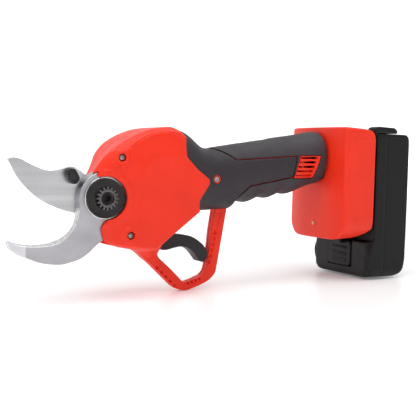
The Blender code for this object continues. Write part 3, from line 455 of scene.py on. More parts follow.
class Nodes:
    """Short names for building the node tree of a material or a world."""

    def __init__(self, name, owner=None, shader="Principled BSDF", place="Object"):
        self.material = owner or bpy.data.materials.new(name)
        self.material.use_nodes = True
        self.tree = self.material.node_tree
        self.shader = self.tree.nodes[shader]
        self.place = self.add("ShaderNodeTexCoord").outputs[place]

    def add(self, kind, inputs=None, **settings):
        node = self.tree.nodes.new(kind)
        for key, value in settings.items():
            setattr(node, key, value)
        for key, value in (inputs or {}).items():
            self.feed(node.inputs[key], value)
        return node

    def feed(self, entry, value):
        """Link an input to a socket, or set it to a plain value."""
        if isinstance(value, bpy.types.NodeSocket):
            self.tree.links.new(value, entry)
        else:
            entry.default_value = value

    def noise(self, scale, detail=3.0, roughness=0.55, stretch=None):
        place = self.place
        if stretch:
            place = self.add("ShaderNodeMapping", {"Vector": place, "Scale": stretch}).outputs[0]
        return self.add("ShaderNodeTexNoise", {"Vector": place, "Scale": scale, "Detail": detail,
                                               "Roughness": roughness}).outputs["Fac"]

    def cells(self, scale):
        return self.add("ShaderNodeTexVoronoi", {"Vector": self.place, "Scale": scale}).outputs["Distance"]

    def remap(self, value, low=0.3, high=0.7, to_low=0, to_high=1):
        return self.add("ShaderNodeMapRange", {"Value": value, "From Min": low, "From Max": high,
                                               "To Min": to_low, "To Max": to_high}).outputs[0]

    def maths(self, operation, a, b):
        return self.add("ShaderNodeMath", {0: a, 1: b}, operation=operation).outputs[0]

    def mix(self, share, a, b):
        return self.add("ShaderNodeMix", {0: share, 6: a, 7: b}, data_type="RGBA").outputs[2]

    def edges(self):
        """Near 1 on raised edges."""
        return self.remap(self.add("ShaderNodeNewGeometry").outputs["Pointiness"], 0.52, 0.6)

    def set(self, **values):
        for key, value in values.items():
            self.feed(self.shader.inputs[key.replace("_", " ")], value)

    def bump(self, *layers):
        """Layers of (height, strength, distance in mm), each laid on the one before."""
        normal = None
        for height, strength, distance in layers:
            inputs = {"Height": height, "Strength": strength, "Distance": distance * MM}
            if normal:
                inputs["Normal"] = normal
            normal = self.add("ShaderNodeBump", inputs).outputs[0]
        self.set(Normal=normal)


def shade(colour, factor):
    return tuple(min(1.0, c * factor) for c in colour) + (1.0,)


def plastic(n, colour, roughness, grain, worn=1.25):
    """Moulded plastic: fine spark-eroded grain, faint flow mottling, and paler raised edges."""
    mottle = n.remap(n.noise(38, 4))
    base = n.mix(mottle, shade(colour, 0.94), shade(colour, 1.05))
    base = n.mix(n.maths("MULTIPLY", n.edges(), 0.35), base, shade(colour, worn))
    rough = n.maths("ADD", n.remap(n.noise(140, 3), 0.3, 0.7, -0.05, 0.05), roughness)
    n.set(Base_Color=base, Roughness=rough, Specular_IOR_Level=PLASTIC_SHINE)
    n.bump((n.noise(1900, 2), 0.35, grain), (n.noise(260, 2), 0.1, 0.02))


def rubber(n, colour):
    """Overmoulded grip rubber: dull, with a fine pebbled skin and a painted highlight on the top of each
    pebble.
    """
    mottle = n.remap(n.noise(60, 5))
    base = n.mix(mottle, shade(colour, 0.88), shade(colour, 1.15))
    pebble_height_and_highlight = n.remap(n.cells(1500), 0.1, 0.7, 1, 0)
    # painted highlight: paler colour on the top of each pebble, where the bump stands highest
    base = n.mix(n.maths("MULTIPLY", pebble_height_and_highlight, 0.16), base, shade(colour, 1.9))
    n.set(Base_Color=base, Roughness=n.remap(n.noise(90, 3), 0.3, 0.7, 0.56, 0.7))
    n.bump((pebble_height_and_highlight, 0.3, 0.06), (n.noise(700, 3), 0.3, 0.06))


def ground_steel(n, colour, roughness, stretch, tip=None):
    """Ground steel: brushed lines along the short side of stretch, cloudy patches, a paler reground tip."""
    lines = n.noise(260, 5, 0.7, stretch)
    wide = n.noise(55, 3, 0.6, stretch)
    cloud = n.noise(30, 4)
    base = n.mix(n.remap(wide), shade(colour, 0.86), shade(colour, 1.1))
    base = n.mix(n.remap(cloud, 0.55, 0.8, 0, 0.25), base, shade(colour, 0.7))
    if tip:
        along = n.add("ShaderNodeSeparateXYZ", {"Vector": n.place}).outputs["X"]
        edge = ORIGIN.x + tip * MM
        base = n.mix(n.remap(along, edge - 0.3 * MM, edge + 0.3 * MM, 1, 0), base, shade(colour, 1.5))
    rough = n.maths("ADD", n.remap(lines, 0.3, 0.7, -0.07, 0.1), roughness)
    n.set(Base_Color=base, Metallic=1.0, Roughness=rough, Anisotropic=0.4)
    n.bump((lines, 0.5, 0.012), (n.noise(500, 2), 0.1, 0.02))


def metal(n, colour, roughness, metallic=1.0, grain=0.02, speckle=0.1):
    """Machined or blackened metal with fine tooling noise and worn edges."""
    cloud = n.remap(n.noise(120, 4))
    base = n.mix(cloud, shade(colour, 0.85), shade(colour, 1.12))
    base = n.mix(n.maths("MULTIPLY", n.edges(), 0.5), base, shade(colour, 1.7))
    rough = n.maths("ADD", n.remap(n.noise(400, 3), 0.3, 0.7, -speckle, speckle), roughness)
    n.set(Base_Color=base, Metallic=metallic, Roughness=rough)
    n.bump((n.noise(1500, 2), 0.3, grain))


def cast_edge(n, colour):
    """The hooked blade's ground bevel: coarse, bright and granular."""
    grain = n.noise(1100, 3, 0.7)
    base = n.mix(n.remap(grain, 0.42, 0.6), shade(colour, 0.62), shade(colour, 1.2))
    n.set(Base_Color=base, Metallic=0.85, Roughness=n.remap(grain, 0.3, 0.7, 0.6, 0.3))
    n.bump((grain, 0.8, 0.12))


def board(n, colour):
    tracks = n.remap(n.cells(420), 0.25, 0.32)
    base = n.mix(tracks, shade(colour, 1.7), shade(colour, 1.0))
    n.set(Base_Color=base, Roughness=n.remap(n.noise(200), 0.3, 0.7, 0.35, 0.5))
    n.bump((tracks, 0.4, 0.04))


RED = (0.86, 0.031, 0.0095)
CHARCOAL = (0.032, 0.027, 0.033)
BLACK = (0.0032, 0.0028, 0.0034)
LOOKS = {}


def make_looks():
    table = {
        "red_plastic": (plastic, RED, 0.4, 0.02, 1.1),
        "collar_plastic": (plastic, CHARCOAL, 0.5, 0.05, 1.6),
        "battery_plastic": (plastic, BLACK, 0.46, 0.06, 1.8),
        "black_plastic": (plastic, (0.022, 0.020, 0.022), 0.42, 0.04, 1.8),
        "grip_rubber": (rubber, CHARCOAL),
        "moving_steel": (ground_steel, (0.60, 0.60, 0.62), 0.34, (0.12, 1, 3.2)),
        "fixed_steel": (ground_steel, (0.49, 0.48, 0.51), 0.36, (0.5, 1, 1.2), FIXED_TIP),
        "bevel_steel": (cast_edge, (0.74, 0.75, 0.75)),
        "bright_steel": (metal, (0.62, 0.61, 0.60), 0.24, 1.0, 0.01, 0.06),
        "gear_steel": (metal, (0.42, 0.43, 0.45), 0.35),
        "screw_steel": (metal, (0.38, 0.37, 0.36), 0.3),
        "black_steel": (metal, (0.030, 0.028, 0.028), 0.42, 0.6, 0.03),
        "spline_steel": (metal, (0.13, 0.12, 0.12), 0.42, 0.8, 0.04),
        "bolt_steel": (metal, (0.014, 0.013, 0.013), 0.5, 0.5, 0.03),
        "aluminium": (metal, (0.62, 0.63, 0.65), 0.45, 1.0, 0.08),
        "bronze": (metal, (0.5, 0.33, 0.14), 0.4),
        "copper": (metal, (0.72, 0.36, 0.2), 0.35),
        "magnet": (metal, (0.55, 0.55, 0.57), 0.3, 1.0, 0.01, 0.05),
        "board_green": (board, (0.02, 0.14, 0.06)),
        "cable": (rubber, (0.03, 0.03, 0.03)),
        "cell_wrap": (plastic, (0.05, 0.2, 0.42), 0.35, 0.02),
        "lens": (plastic, (0.62, 0.30, 0.14), 0.2, 0.01),
    }
    for name, (make, *values) in table.items():
        n = Nodes(name + "_look")
        make(n, *values)
        LOOKS[name] = n.material


# -------- head shells

def moved_back(field, s, shift):
    """A field of (x, z), read further forward by a shift that varies with y and z."""
    steps = shift / s.step
    whole = np.floor(steps).astype(int)
    share = (steps - whole).astype(np.float32)
    field = np.broadcast_to(field, (field.shape[0],) + steps.shape[1:])
    index = np.arange(field.shape[0])[:, None, None] + whole
    last = field.shape[0] - 1
    near = np.take_along_axis(field, np.clip(index, 0, last), 0)
    far = np.take_along_axis(field, np.clip(index + 1, 0, last), 0)
    return near * (1 - share) + far * share


def head_fields(s):
    """(outer surface of the head, signed depth beyond its cheek, its outline at the side face)."""
    mid = side_view(s, HEAD_MID)
    side = side_view(s, HEAD_SIDE)
    off_flat = side_view(s, CHEEK_FLAT)
    depths, reaches = zip(*NOSE)
    reach = np.interp(s.y, depths, reaches).astype(np.float32)
    reach = reach * ramp(s.z, 14.2, 15.2) * (1 - ramp(s.z, 16, 46))
    side = np.where(s.y > 0, mid + FAR_DRAW, side)
    mid = moved_back(mid, s, reach)
    cheek = HEAD_HALF - CHEEK_DROP * np.tanh(CHEEK_TILT / CHEEK_DROP * soft_positive(off_flat, 1.0))
    below = ramp(-s.z, 13, 17)
    chamfer = -0.955 * (s.x - 1.6) - 0.295 * (s.z + 20)
    cheek = cheek - below * 0.42 * soft_positive(chamfer, 0.4)
    for x, z in HEAD_SCREWS.values():
        away = np.hypot(s.x - x, s.z - z)
        cheek = cheek + (SCREW_PAD - cheek) * (1 - ramp(away, *SCREW_PAD_R))
    cheek = cheek + RING_RISE * (1 - ramp(np.hypot(s.x, s.z), *RING_R))
    depth = np.abs(s.y)
    share = np.clip((depth - FLAT_HALF) / (cheek - FLAT_HALF), 0, 1) ** 1.3
    wall = mid + (side - mid) * share
    return both(wall, depth - cheek, 0.7), depth - cheek, side


def handle_field(s, inset=0.0, start=58.0, end=191.0):
    """The handle: rounded sections along X."""
    rows = np.array(run_points(HANDLE, 6))
    flat = s.x.ravel()
    sections = [np.interp(flat, rows[:, 0], rows[:, i]).astype(np.float32) for i in (1, 2, 3)]
    bottom, top, half = [section[:, None, None] for section in sections]
    middle, tall, wide = (bottom + top) / 2, (top - bottom) / 2 - inset, half - inset
    power = HANDLE_POWER
    body = (np.abs(s.y / wide) ** power + np.abs((s.z - middle) / tall) ** power) ** (1 / power) - 1
    return both(body * np.minimum(tall, wide), layer(s.x, start, end), 0.0 if inset else 1.2)


def guard_field(s):
    """The trigger guard loop with its row of core-out pockets and the channel down its rear arm."""
    outer = side_view(s, GUARD_OUTER)
    inner = side_view(s, GUARD_INNER)
    loop = both(both(outer, -inner, 0.4), np.abs(s.y) - GUARD_HALF, 1.0)
    channel = [(92.4, -46), (95.6, -47), (102.2, -12), (97.2, -12)]
    loop = without(loop, plate(s, channel, -20, -GUARD_HALF + 0.6), 0.2)
    pockets = [((93.2 + i * 0.95, -50.5 + i * 4.6), 100, 1.5, 1.1) for i in range(6)]
    pockets += [((49.2 + i * 3.75, -52.9 - i * 3.55), -43, 1.35, 0.8) for i in range(5)]
    pockets += [((75.6 + i * 3.3, -66.2 + i * 0.95), 16, 0.75, 1.15) for i in range(4)]
    for (x, z), turn, half_long, half_wide in pockets:
        corners = [turned_point((x + a * half_long, z + b * half_wide), (x, z), turn) for a, b in CORNERS]
        loop = without(loop, plate(s, corners, -20, -GUARD_HALF + 1.9), 0.15)
    return loop


def fixed_outline(inner, hub_radius):
    return resampled(run_points(inner, 5), 60) + resampled(run_points(FIXED_OUTER, 5), 70) + \
        arc((0, 0), hub_radius, -46, 192, 40)


def openings(s, body):
    """Slots for the blades, the gear housing's nose, the trigger and the spring."""
    low, high = BLADE_SLOT
    slot = [(-90, -80), (-90, 14.6), (6, 14.6)] + arc((0, 0), 25, 36, -62, 20) + [(4, -80)]
    body = without(body, plate(s, slot, low, high), 0.3)
    fixed = outline_distance(s.x, s.z, fixed_outline(FIXED_INNER, HUB_R)) - 0.6
    body = without(body, both(fixed, layer(s.y, low - 0.15, FIXED_BACK + 0.2)), 0.2)
    body = without(body, rod(s, (0, 0), 14.2, high - 1, HEAD_HALF - 7), 0.3)
    body = without(body, block(s, (-60, 0.5), (high - 0.6, HEAD_HALF - 7.4), (-13, 13)), 0.3)
    body = without(body, rod(s, (0, 0), 9.2, 0, 60), 0.4)
    body = without(body, block(s, (TRIGGER_SPRING_X - 4, TRIGGER_SPRING_X + 4), (-4, 4), (-30, -16)))
    lever = path(TRIGGER_BLADE)
    raised = [turned_point(p, TRIGGER_PIVOT, 12) for p in lever]
    for outline in (lever, raised):
        away = outline_distance(s.x, s.z, outline) - 1.2
        body = without(body, both(away, layer(s.y, -TRIGGER_HALF - 0.5, TRIGGER_HALF + 0.5)), 0.2)
    return without(body, rod(s, TRIGGER_PIVOT, 1.75, -9.3, 9.3))


def vents(s, body, side):
    for height in VENT_SLOTS:
        shift = (height - 24) * 0.29
        start, end = 163.4 + shift, 179.0 + shift
        half = 0.55 + 0.4 * np.clip((s.x - start) / (end - start), 0, 1)
        slot = both(both(np.abs(s.z - height - 0.02 * (s.x - start)) - half, layer(s.x, start, end), 0.3),
                    layer(s.y, *sorted((side * 15.5, side * 30))))
        body = without(body, slot, 0.15)
    return body


def shell(name, side):
    """One red half: head, guard half, yoke and the core that runs down the handle."""
    reach = sorted((side * 29.0, -side * 1.0))
    s = Space((-14, reach[0], -74), (194, reach[1], 54), SHELL_STEP)
    head, beyond, side_outline = head_fields(s)
    core = handle_field(s, CORE_INSET, 66, 190.9)
    pad = both(handle_field(s, 0, 154, 191), side_view(s, VENT), 0.3)
    yoke = plate(s, path(YOKE), -9, 9, 2.5)
    solid = melt(head, melt(guard_field(s), yoke, 7.0), 7.0)
    inner = either(head + WALL, handle_field(s, CORE_INSET + CORE_WALL, 62, 193), 1.0)
    hollow = without(either(solid, core, 0.5), inner)
    for place in HEAD_SCREWS.values():
        boss = both(rod(s, place, SCREW_BOSS_R, -HEAD_HALF + 2.4, HEAD_HALF - 1.6), head + 0.8)
        hollow = either(hollow, boss, 0.4)
    hollow = either(hollow, without(pad, inner), 0.2)
    hollow = openings(s, hollow)
    hollow = vents(s, hollow, side)
    if side < 0:
        hollow = without(hollow, rod(s, (0, 0), RECESS_R, -40, BLADE_SLOT[0] + 0.1), 0.5)
        for x, z in HEAD_SCREWS.values():
            hexagon = [(x + px, z + pz) for px, pz in arc((0, 0), SCREW_POCKET_R, 15, 315, 5)]
            hollow = without(hollow, plate(s, hexagon, -40, SCREW_POCKET_FLOOR, 0.1), 0.2)
            hollow = without(hollow, rod(s, (x, z), 1.9, -40, 5))
        hollow = without(hollow, rod(s, COLLAR_SCREW, 1.5, -60, -5))
    else:
        for place in HEAD_SCREWS.values():
            hollow = without(hollow, rod(s, place, 1.6, -5, 12.4))
    crease = both(np.abs(side_outline) - CREASE, -beyond - 1.0) + np.where((s.x > 17) & (s.z > 30), 0, 9)
    hollow = without(hollow, both(crease, beyond - 0.6), 0.1)
    ridge = both(np.abs(np.abs(s.y) - RIDGE_Y) - 0.3, layer(s.x, 14, 40)) + np.where(s.z > 30, 0, 9)
    hollow = without(hollow, both(ridge, -(head + 0.35)), 0.1)
    half = both(hollow, -side * s.y + SEAM, 0.25)
    return moulded(name, half, s, [name], "red_plastic")


# -------- collars and grips

def halves(name, field, s, slot, look):
    for side, prefix in ((-1, "left"), (1, "right")):
        half = both(field, -side * s.y + SEAM, 0.25)
        if side < 0 and "collar" in name:
            half = without(half, rod(s, COLLAR_SCREW, 3.4, -60, -5), 0.3)
        moulded(f"{prefix}_{name}", half, s, [f"{prefix}_{name}"], slot, look)


def grips():
    s = Space((56, -29, -22), (166, 29, 54), SHELL_STEP)
    handle = handle_field(s, 0, 58, 260)
    head = head_fields(s)[0]
    core = handle_field(s, CORE_INSET - 0.35, 60, 260)
    guard = both(side_view(s, GUARD_OUTER) - 0.3, np.abs(s.y) - GUARD_HALF - 0.3)
    collar = both(handle, side_view(s, TONGUE), 0.5)
    collar = without(without(without(collar, head - 0.3, 0.3), core), guard, 0.3)
    halves("grip_collar", collar, s, "black_plastic", "collar_plastic")
    s = Space((80, -22, -14), (194, 22, 56), SHELL_STEP)
    grip = handle_field(s, 0, 82, 190.6)
    grip = without(grip, side_view(s, TONGUE) - 0.7, 0.5)
    grip = without(grip, side_view(s, VENT) - 0.5, 0.5)
    grip = without(grip, handle_field(s, CORE_INSET - 0.35, 60, 260))
    halves("rubber_grip", grip, s, "grip_rubber", "grip_rubber")


# -------- blades

def inset_ring(outline, distance):
    """The closed outline moved inwards, corner by corner."""
    points = np.array(outline)
    before, after = np.roll(points, 1, 0), np.roll(points, -1, 0)
    area = float(np.sum(points[:, 0] * after[:, 1] - after[:, 0] * points[:, 1]))
    along = after - before
    along /= np.linalg.norm(along, axis=1)[:, None]
    inwards = np.stack([-along[:, 1], along[:, 0]], 1) * (1 if area > 0 else -1)
    moved = points + inwards * np.asarray(distance).reshape(-1, 1)
    return [tuple(p) for p in moved]


def blade_mesh(name, layers, node, body, look, holes):
    """A plate through (y, outline) layers, with round holes."""
    points, faces = ring_mesh([[(x, y, z) for x, z in outline] for y, outline in layers])
    made = put(name, points, faces, [node], "blade_steel", look, body)
    made.data.shade_smooth()
    face_out(made)
    for x, z, radius in holes:
        bpy.ops.mesh.primitive_cylinder_add(vertices=48, radius=radius * MM, depth=60 * MM,
                                            location=Vector((x, -12, z)) * MM + ORIGIN,
                                            rotation=(math.pi / 2, 0, 0))
        cutter = bpy.context.object
        step = made.modifiers.new("hole", "BOOLEAN")
        step.operation, step.object = "DIFFERENCE", cutter
        apply_modifiers(made)
        bpy.data.objects.remove(cutter)
    smoothed(made, 24)
    return made


def fixed_blade():
    front = fixed_outline(FIXED_INNER, HUB_R)
    back = fixed_outline(FIXED_INNER_BACK, HUB_BACK_R)
    layers = [(FIXED_FACE, inset_ring(front, 0.25)), (FIXED_FACE + 0.25, front), (FIXED_BACK - 0.25, back),
              (FIXED_BACK, inset_ring(back, 0.25))]
    made = blade_mesh("fixed_blade_ground", layers, "fixed_blade", "tool", "fixed_steel",
                      [(0, 0, BOLT_R + 0.1)])
    made.data.materials.append(LOOKS["bevel_steel"])
    for face in made.data.polygons:
        middle = face.center / MM - ORIGIN / MM
        inner = middle.z > -33.5 and middle.x < -17 and abs(face.normal.y) < 0.6
        if inner and math.hypot(middle.x, middle.z) > 20.2:
            face.material_index = 1
    return made


def moving_blade():
    hub = arc((0, 0), MOVING_HUB_R, 100, -118, 40)
    top, edge = [resampled(run_points(run, 5), 60) for run in (MOVING_TOP, MOVING_EDGE)]
    edge = edge[:-1]
    front = top + hub + edge
    fades = [min(1, i / 6, (len(edge) - 1 - i) / 6) for i in range(len(edge))]
    back = inset_ring(front, [0.0] * (len(top) + len(hub)) + [BEVEL_WIDTH * fade for fade in fades])
    layers = [(MOVING_FACE, inset_ring(front, 0.15)), (MOVING_FACE + 0.15, front),
              (MOVING_BACK - 0.25, back), (MOVING_BACK, inset_ring(back, 0.25))]
    pins = [(9.9 * math.cos(a), 9.9 * math.sin(a), 1.65) for a in (math.radians(-20), math.radians(160))]
    return blade_mesh("moving_blade_ground", layers, "moving_blade", "blade", "moving_steel",
                      [(0, 0, BUSH_R + 0.12)] + pins)


def magnet_holder():
    x, z = MAGNET_HOLDER
    s = Space((x - 7, -21, z - 8), (x + 7, -13.5, z + 8), 0.2)
    turn = math.radians(28)
    a = (s.x - x) * math.cos(turn) + (s.z - z) * math.sin(turn)
    b = -(s.x - x) * math.sin(turn) + (s.z - z) * math.cos(turn)
    away = np.hypot(a, np.maximum(np.abs(b) - 1.8, 0))
    holder = both(away - 3.8, layer(s.y, -19.4, MOVING_FACE - 0.1), 0.5)
    groove = both(np.abs(away - 2.2) - 0.25, layer(s.y, -21, -18.9))
    groove = both(groove, -(a + 0.4 * b + 2.4))
    holder = without(holder, groove, 0.1)
    notch = block(s, (x + 0.4, x + 1.8), (-21, -18.2), (z - 9, z - 2.6))
    holder = without(holder, notch, 0.2)
    holder = without(holder, rod(s, (x, z), 2.6, -17.4, 0))
    moulded("magnet_holder", holder, s, ["blade_magnet_holder"], "black_plastic", thin=0.5, body="blade")


def turned_mesh(profile):
    """A (radius, y) profile spun about the pivot axis."""
    rings = []
    for i in range(TURNED_SIDES):
        angle = 2 * math.pi * i / TURNED_SIDES
        rings.append([(r * math.cos(angle), y, r * math.sin(angle)) for r, y in profile])
    return ring_mesh(rings, closed=True)


def pivot():
    s = Space((-15.5, -27.6, -15.5), (15.5, -21, 15.5), NUT_STEP)
    radius = np.hypot(s.x, s.z)
    disc = both(radius - NUT_R, layer(s.y, NUT_FACE, NUT_BACK), 0.35)
    dish = both(np.abs(radius - 10.8) - 1.7, s.y - NUT_FACE - 0.25)
    disc = without(disc, dish, 0.3)
    base = SPLINE_ROOT - 0.2
    angle = np.arctan2(s.z, s.x) * SPLINE_TEETH
    wave = np.clip(1.9 * np.cos(angle) - 0.25, -1, 1)
    teeth = radius - (SPLINE_ROOT + SPLINE_R) / 2 - (SPLINE_R - SPLINE_ROOT) / 2 * wave
    boss = both(teeth * 0.75, layer(s.y, SPLINE_FACE, NUT_FACE + 0.5), 0.25)
    bored = without(boss, radius - 4.7 + np.where(s.y < -24.0, 0, 9), 0.3)
    bore = radius - BOLT_R - 0.12
    disc = without(without(disc, radius - base), bore)
    moulded("pivot_nut_disc", disc, s, ["pivot_nut"], "black_steel", thin=0.5)
    ring = both(radius - base + 0.05, layer(s.y, NUT_FACE + 0.05, NUT_BACK), 0.05)
    spline = without(either(bored, ring, 0.1), bore)
    moulded("pivot_nut_spline", spline, s, [], "black_steel", "spline_steel", 0.6)
    bore_r, rim = BOLT_R + 0.2, COLLAR_RING_R
    profile = [(bore_r, -20.4), (rim, -20.4), (rim - 0.1, -21.1), (rim - 0.1, -21.3), (rim - 0.3, -21.5),
               (bore_r, -21.5)]
    points, faces = turned_mesh(profile)
    collar = put("pivot_collar_ring", points, faces, ["pivot_collar"], "bright_steel")
    smoothed(collar, 30)
    face_out(collar)


# -------- screws, trigger

def head_screw(name, place):
    """A cross-head screw sunk in its pocket, over a thin black ring that paints the pocket's shade round
    the head.
    """
    x, z = place
    s = Space((x - 3.4, -26.2, z - 3.4), (x + 3.4, -21, z + 3.4), 0.16)
    radius = np.hypot(s.x - x, s.z - z)
    dome = np.sqrt(radius ** 2 + (s.y + 21.6) ** 2 + 1e-6) - 3.9
    head = both(both(radius - 2.0, layer(s.y, -25.4, -23.9), 0.25), dome, 0.2)
    cross = np.minimum(both(np.abs(s.x - x) - 0.42, np.abs(s.z - z) - 1.5),
                       both(np.abs(s.z - z) - 0.42, np.abs(s.x - x) - 1.5))
    head = without(head, both(cross, s.y + 24.1), 0.08)
    shank = both(radius - 1.4, layer(s.y, -24.4, -21.4))
    moulded(name + "_head", either(head, shank), s, [name], "gear_steel", "screw_steel", 0.6)
    # painted shade: a thin black ring round the screw head darkens the floor of the deep pocket
    pocket_shade_ring = both(both(radius - 2.75, 1.6 - radius, 0.1), layer(s.y, -23.8, -23.3), 0.1)
    moulded(name + "_pocket_shade_ring", pocket_shade_ring, s, [], "black_steel", thin=0.6)


def collar_screw():
    x, z = COLLAR_SCREW
    s = Space((x - 4.2, -20.6, z - 4.2), (x + 4.2, -15.4, z + 4.2), 0.18)
    radius = np.hypot(s.x - x, s.z - z)
    head = both(radius - 2.1, layer(s.y, -19.2, -18.2), 0.3)
    head = without(head, both(radius - 1.0, s.y + 18.6), 0.2)
    shank = both(radius - 1.3, layer(s.y, -18.6, -15.8))
    screw = either(head, shank)
    moulded("collar_screw_head", screw, s, ["collar_screw"], "gear_steel", "screw_steel", 0.6)
    cup = both(both(radius - 3.2, -(radius - 2.45), 0.15), layer(s.y, -19.5, -17.0), 0.2)
    moulded("collar_screw_cup", cup, s, [], "red_plastic", thin=0.6)


def trigger():
    s = Space((38, -7.5, -53), (94, 7.5, -24), FINE_STEP)
    outline = side_view(s, TRIGGER_BLADE)
    lever = both(outline, np.abs(s.y) - TRIGGER_HALF, 1.0)
    lever = without(lever, rod(s, TRIGGER_PIVOT, 1.7, -20, 20), 0.2)
    lever = without(lever, rod(s, TRIGGER_MAGNET, 2.2, -3, 20), 0.2)
    moulded("trigger_lever", lever, s, ["trigger"], "black_plastic", body="trigger")


# -------- box, dock, battery

def box_field(s, grow=0.0):
    x0, x1, z0, z1 = BOX
    side = [[(x0, z0 - 0.2), (x0 + 6, z0 + 0.1), (x1 - 14, z0 + 1.6), (x1 - 5, z0 + 5.2), (x1, z0 + 9)],
            [(x1, z1 - 10), (x1 - 1.4, z1 - 5.2), (x1 - 6, z1 - 2.2), (x1 - 14, z1 - 1.2), (x0 + 6, z1),
             (x0, z1)]]
    profile = side_view(s, side) - grow
    swept = x0 + BOX_SWEEP * (s.y / BOX_HALF) ** 2 - s.x
    plan = both(swept - grow, np.abs(s.y) - BOX_HALF - grow, BOX_CORNER)
    low = rounded((-BOX_HALF, z0), (BOX_HALF, z1), 4.5, 8)
    feet = footed(BOX_HALF, z0, z1 + 9, BOX_FOOT_R, -90)
    front = both(outline_distance(s.y, s.z, low), outline_distance(s.y, s.z, feet)) - grow
    return both(both(profile, plan, 2.2), front, 2.0)


def footed(half, bottom, top, radius, start):
    """Front outline with upright sides and large lower corners."""
    right = arc((half - radius, bottom + radius), radius, start, 0, 10)
    return right + [(half, top), (-half, top)] + [(-y, z) for y, z in right[::-1]]


def rounded(low, high, radius, steps):
    corners = [((high[0] - radius, high[1] - radius), 0), ((low[0] + radius, high[1] - radius), 90),
               ((low[0] + radius, low[1] + radius), 180), ((high[0] - radius, low[1] + radius), 270)]
    points = []
    for centre, start in corners:
        points += arc(centre, radius, start, start + 90, steps)
    return points


def battery_housing():
    s = Space((188, -40, -37), (228, 40, 59), BOX_STEP)
    box = box_field(s)
    panel = np.abs(both(RIDGE_X - s.x, np.abs(s.z - 2) - 42.5, 1.0)) - 0.42
    box = without(box, both(panel, BOX_HALF - 0.6 - np.abs(s.y)), 0.1)
    box = without(box, box_field(s, -BOX_WALL) + np.where(s.x > 222.2, 9, 0))
    rear = front_view(s, (-34, -24), (34, 47), 6, 6)
    box = without(box, both(rear, 200 - s.x), 0.4)
    port = front_view(s, (-14, 14), (14, 46), 6, 6)
    box = without(box, both(port, s.x - 200))
    box = without(box, both(np.hypot(s.y - LED[0], s.z - LED[1]) - LED_R, s.x - 205))
    box = without(box, block(s, (214, 219), (-8.5, 8.5), (-60, -29)), 0.3)
    moulded("battery_housing_shell", box, s, ["battery_housing"], "red_plastic")


def dock():
    s = Space((221, -38.5, -26), (250, 38.5, 60), BOX_STEP)
    face = front_view(s, (-33.6, -23.6), (33.6, 46.6), 6, 6)
    piece = both(face, layer(s.x, 222.4, 226.2), 0.5)
    low, high = RAIL
    piece = either(piece, block(s, (225.5, 229.4), (-19, 19), (low, high)), 0.4)
    piece = either(piece, block(s, (229.0, 231.6), (-23, 23), (low, high), 0.4))
    hood = [(226.0, 40), (226.0, 56.6), (229.4, 57.8), (245.6, 57.2), (248.3, 55.0), (248.3, 52.5),
            (228.6, 52.4), (227.0, 51), (227.0, 40)]
    hood = both(outline_distance(s.x, s.z, hood), np.abs(s.y) - HOOD_HALF, 0.9)
    hood = without(hood, block(s, (220, 252), (-26, 26), (55.6, 62), 0.4), 0.6)
    piece = either(piece, hood, 0.3)
    piece = either(piece, block(s, (223.4, 226.6), (-29, 29), (38, 46)), 0.3)
    piece = without(piece, block(s, (226.8, 240), (-12, 12), (low - 5, 30)))
    moulded("dock_plate", piece, s, ["battery_dock"], "black_plastic", "battery_plastic")


def battery_case():
    x0, x1, z0, z1 = BATTERY
    s = Space((219, -39, -68), (263, 39, 54), BOX_STEP)
    front = front_view(s, (-BATTERY_HALF, z0 + 0.3), (BATTERY_HALF, z1 + 7), 7.5, 8)
    side = [[(x0, z1 - 0.4), (x0 + 3, z1), (x1 - 6, z1), (x1 - 2.4, z1 - 0.9), (x1 - 0.8, z1 - 2.8),
             (x1 - 0.2, z1 - 6)],
            [(x1 - 0.2, z1 - 6), (x1, 0), (x1 - 0.4, z0 + 16)],
            [(x1 - 0.4, z0 + 16), (x1 - 2.2, z0 + 7.4), (x1 - 6.4, z0 + 2.6), (x1 - 12, z0 + 0.8)],
            [(x0 + 6, z0 + 1.0), (x0 + 0.4, z0 + 3.8), (x0 - 3.6, z0 + 9), (x0 - 5.4, z0 + 15),
             (x0 - 5.2, z0 + 21), (x0 - 2.4, z0 + 27.5), (x0, z0 + 33)]]
    body = both(both(side_view(s, side), np.abs(s.y) - BATTERY_HALF, 1.8), front, 1.5)
    body = both(body, x0 + 0.4 - s.x - 9 * ramp(np.abs(s.y), FOOT_HALF - 1, FOOT_HALF + 1), 0.3)
    foot_side = [[(BLOCK_FRONT, FOOT_TOP), (x0 + 6, FOOT_TOP)], [(x0 + 8, z0)],
                 [(225, z0), (BLOCK_FRONT + 0.9, z0 + 1.6), (BLOCK_FRONT, z0 + 5)]]
    foot_front = outline_distance(s.y, s.z, footed(FOOT_HALF, z0, FOOT_TOP, FOOT_R, -84))
    foot = both(side_view(s, foot_side), foot_front, 1.6)
    body = either(body, foot, 1.2)
    inner = [(x1 - 2.6, z0 + 14), (x1 - 2.6, z1 - 6), (x1 - 6, z1 - 2.6), (229.4, z1 - 2.6),
             (229.4, z0 + 5), (x1 - 14, z0 + 4.4), (x1 - 6, z0 + 8)]
    body = without(body, both(outline_distance(s.x, s.z, inner), np.abs(s.y) - BATTERY_HALF + 3.0, 0.5))
    body = without(body, block(s, (224.4, 231), (-26, 26), (z0 + 6, -39.6)))
    # channel for the dock's rail, bay for the contacts and the window for the latch
    above = RAIL[0] - 3 - s.z
    neck = both(s.x - 230, np.abs(s.y) - 19.7)
    channel = both(layer(s.x, 228.2, 232.6), np.abs(s.y) - 23.8)
    body = without(body, both(either(neck, channel), above), 0.2)
    body = without(body, both(both(s.x - 236.6, np.abs(s.y) - 12.6), above))
    body = without(body, both(both(s.x - 230, np.abs(s.y) - 15.3), layer(s.z, -58.3, -30)), 0.3)
    seam = both(np.abs(s.x - 237.6) - 0.25, -(body + 0.5))
    body = without(body, seam, 0.1)
    nodes = ["battery_case", "battery_cover"]
    moulded("battery_pack_case", body, s, nodes, "black_plastic", "battery_plastic", body="battery")


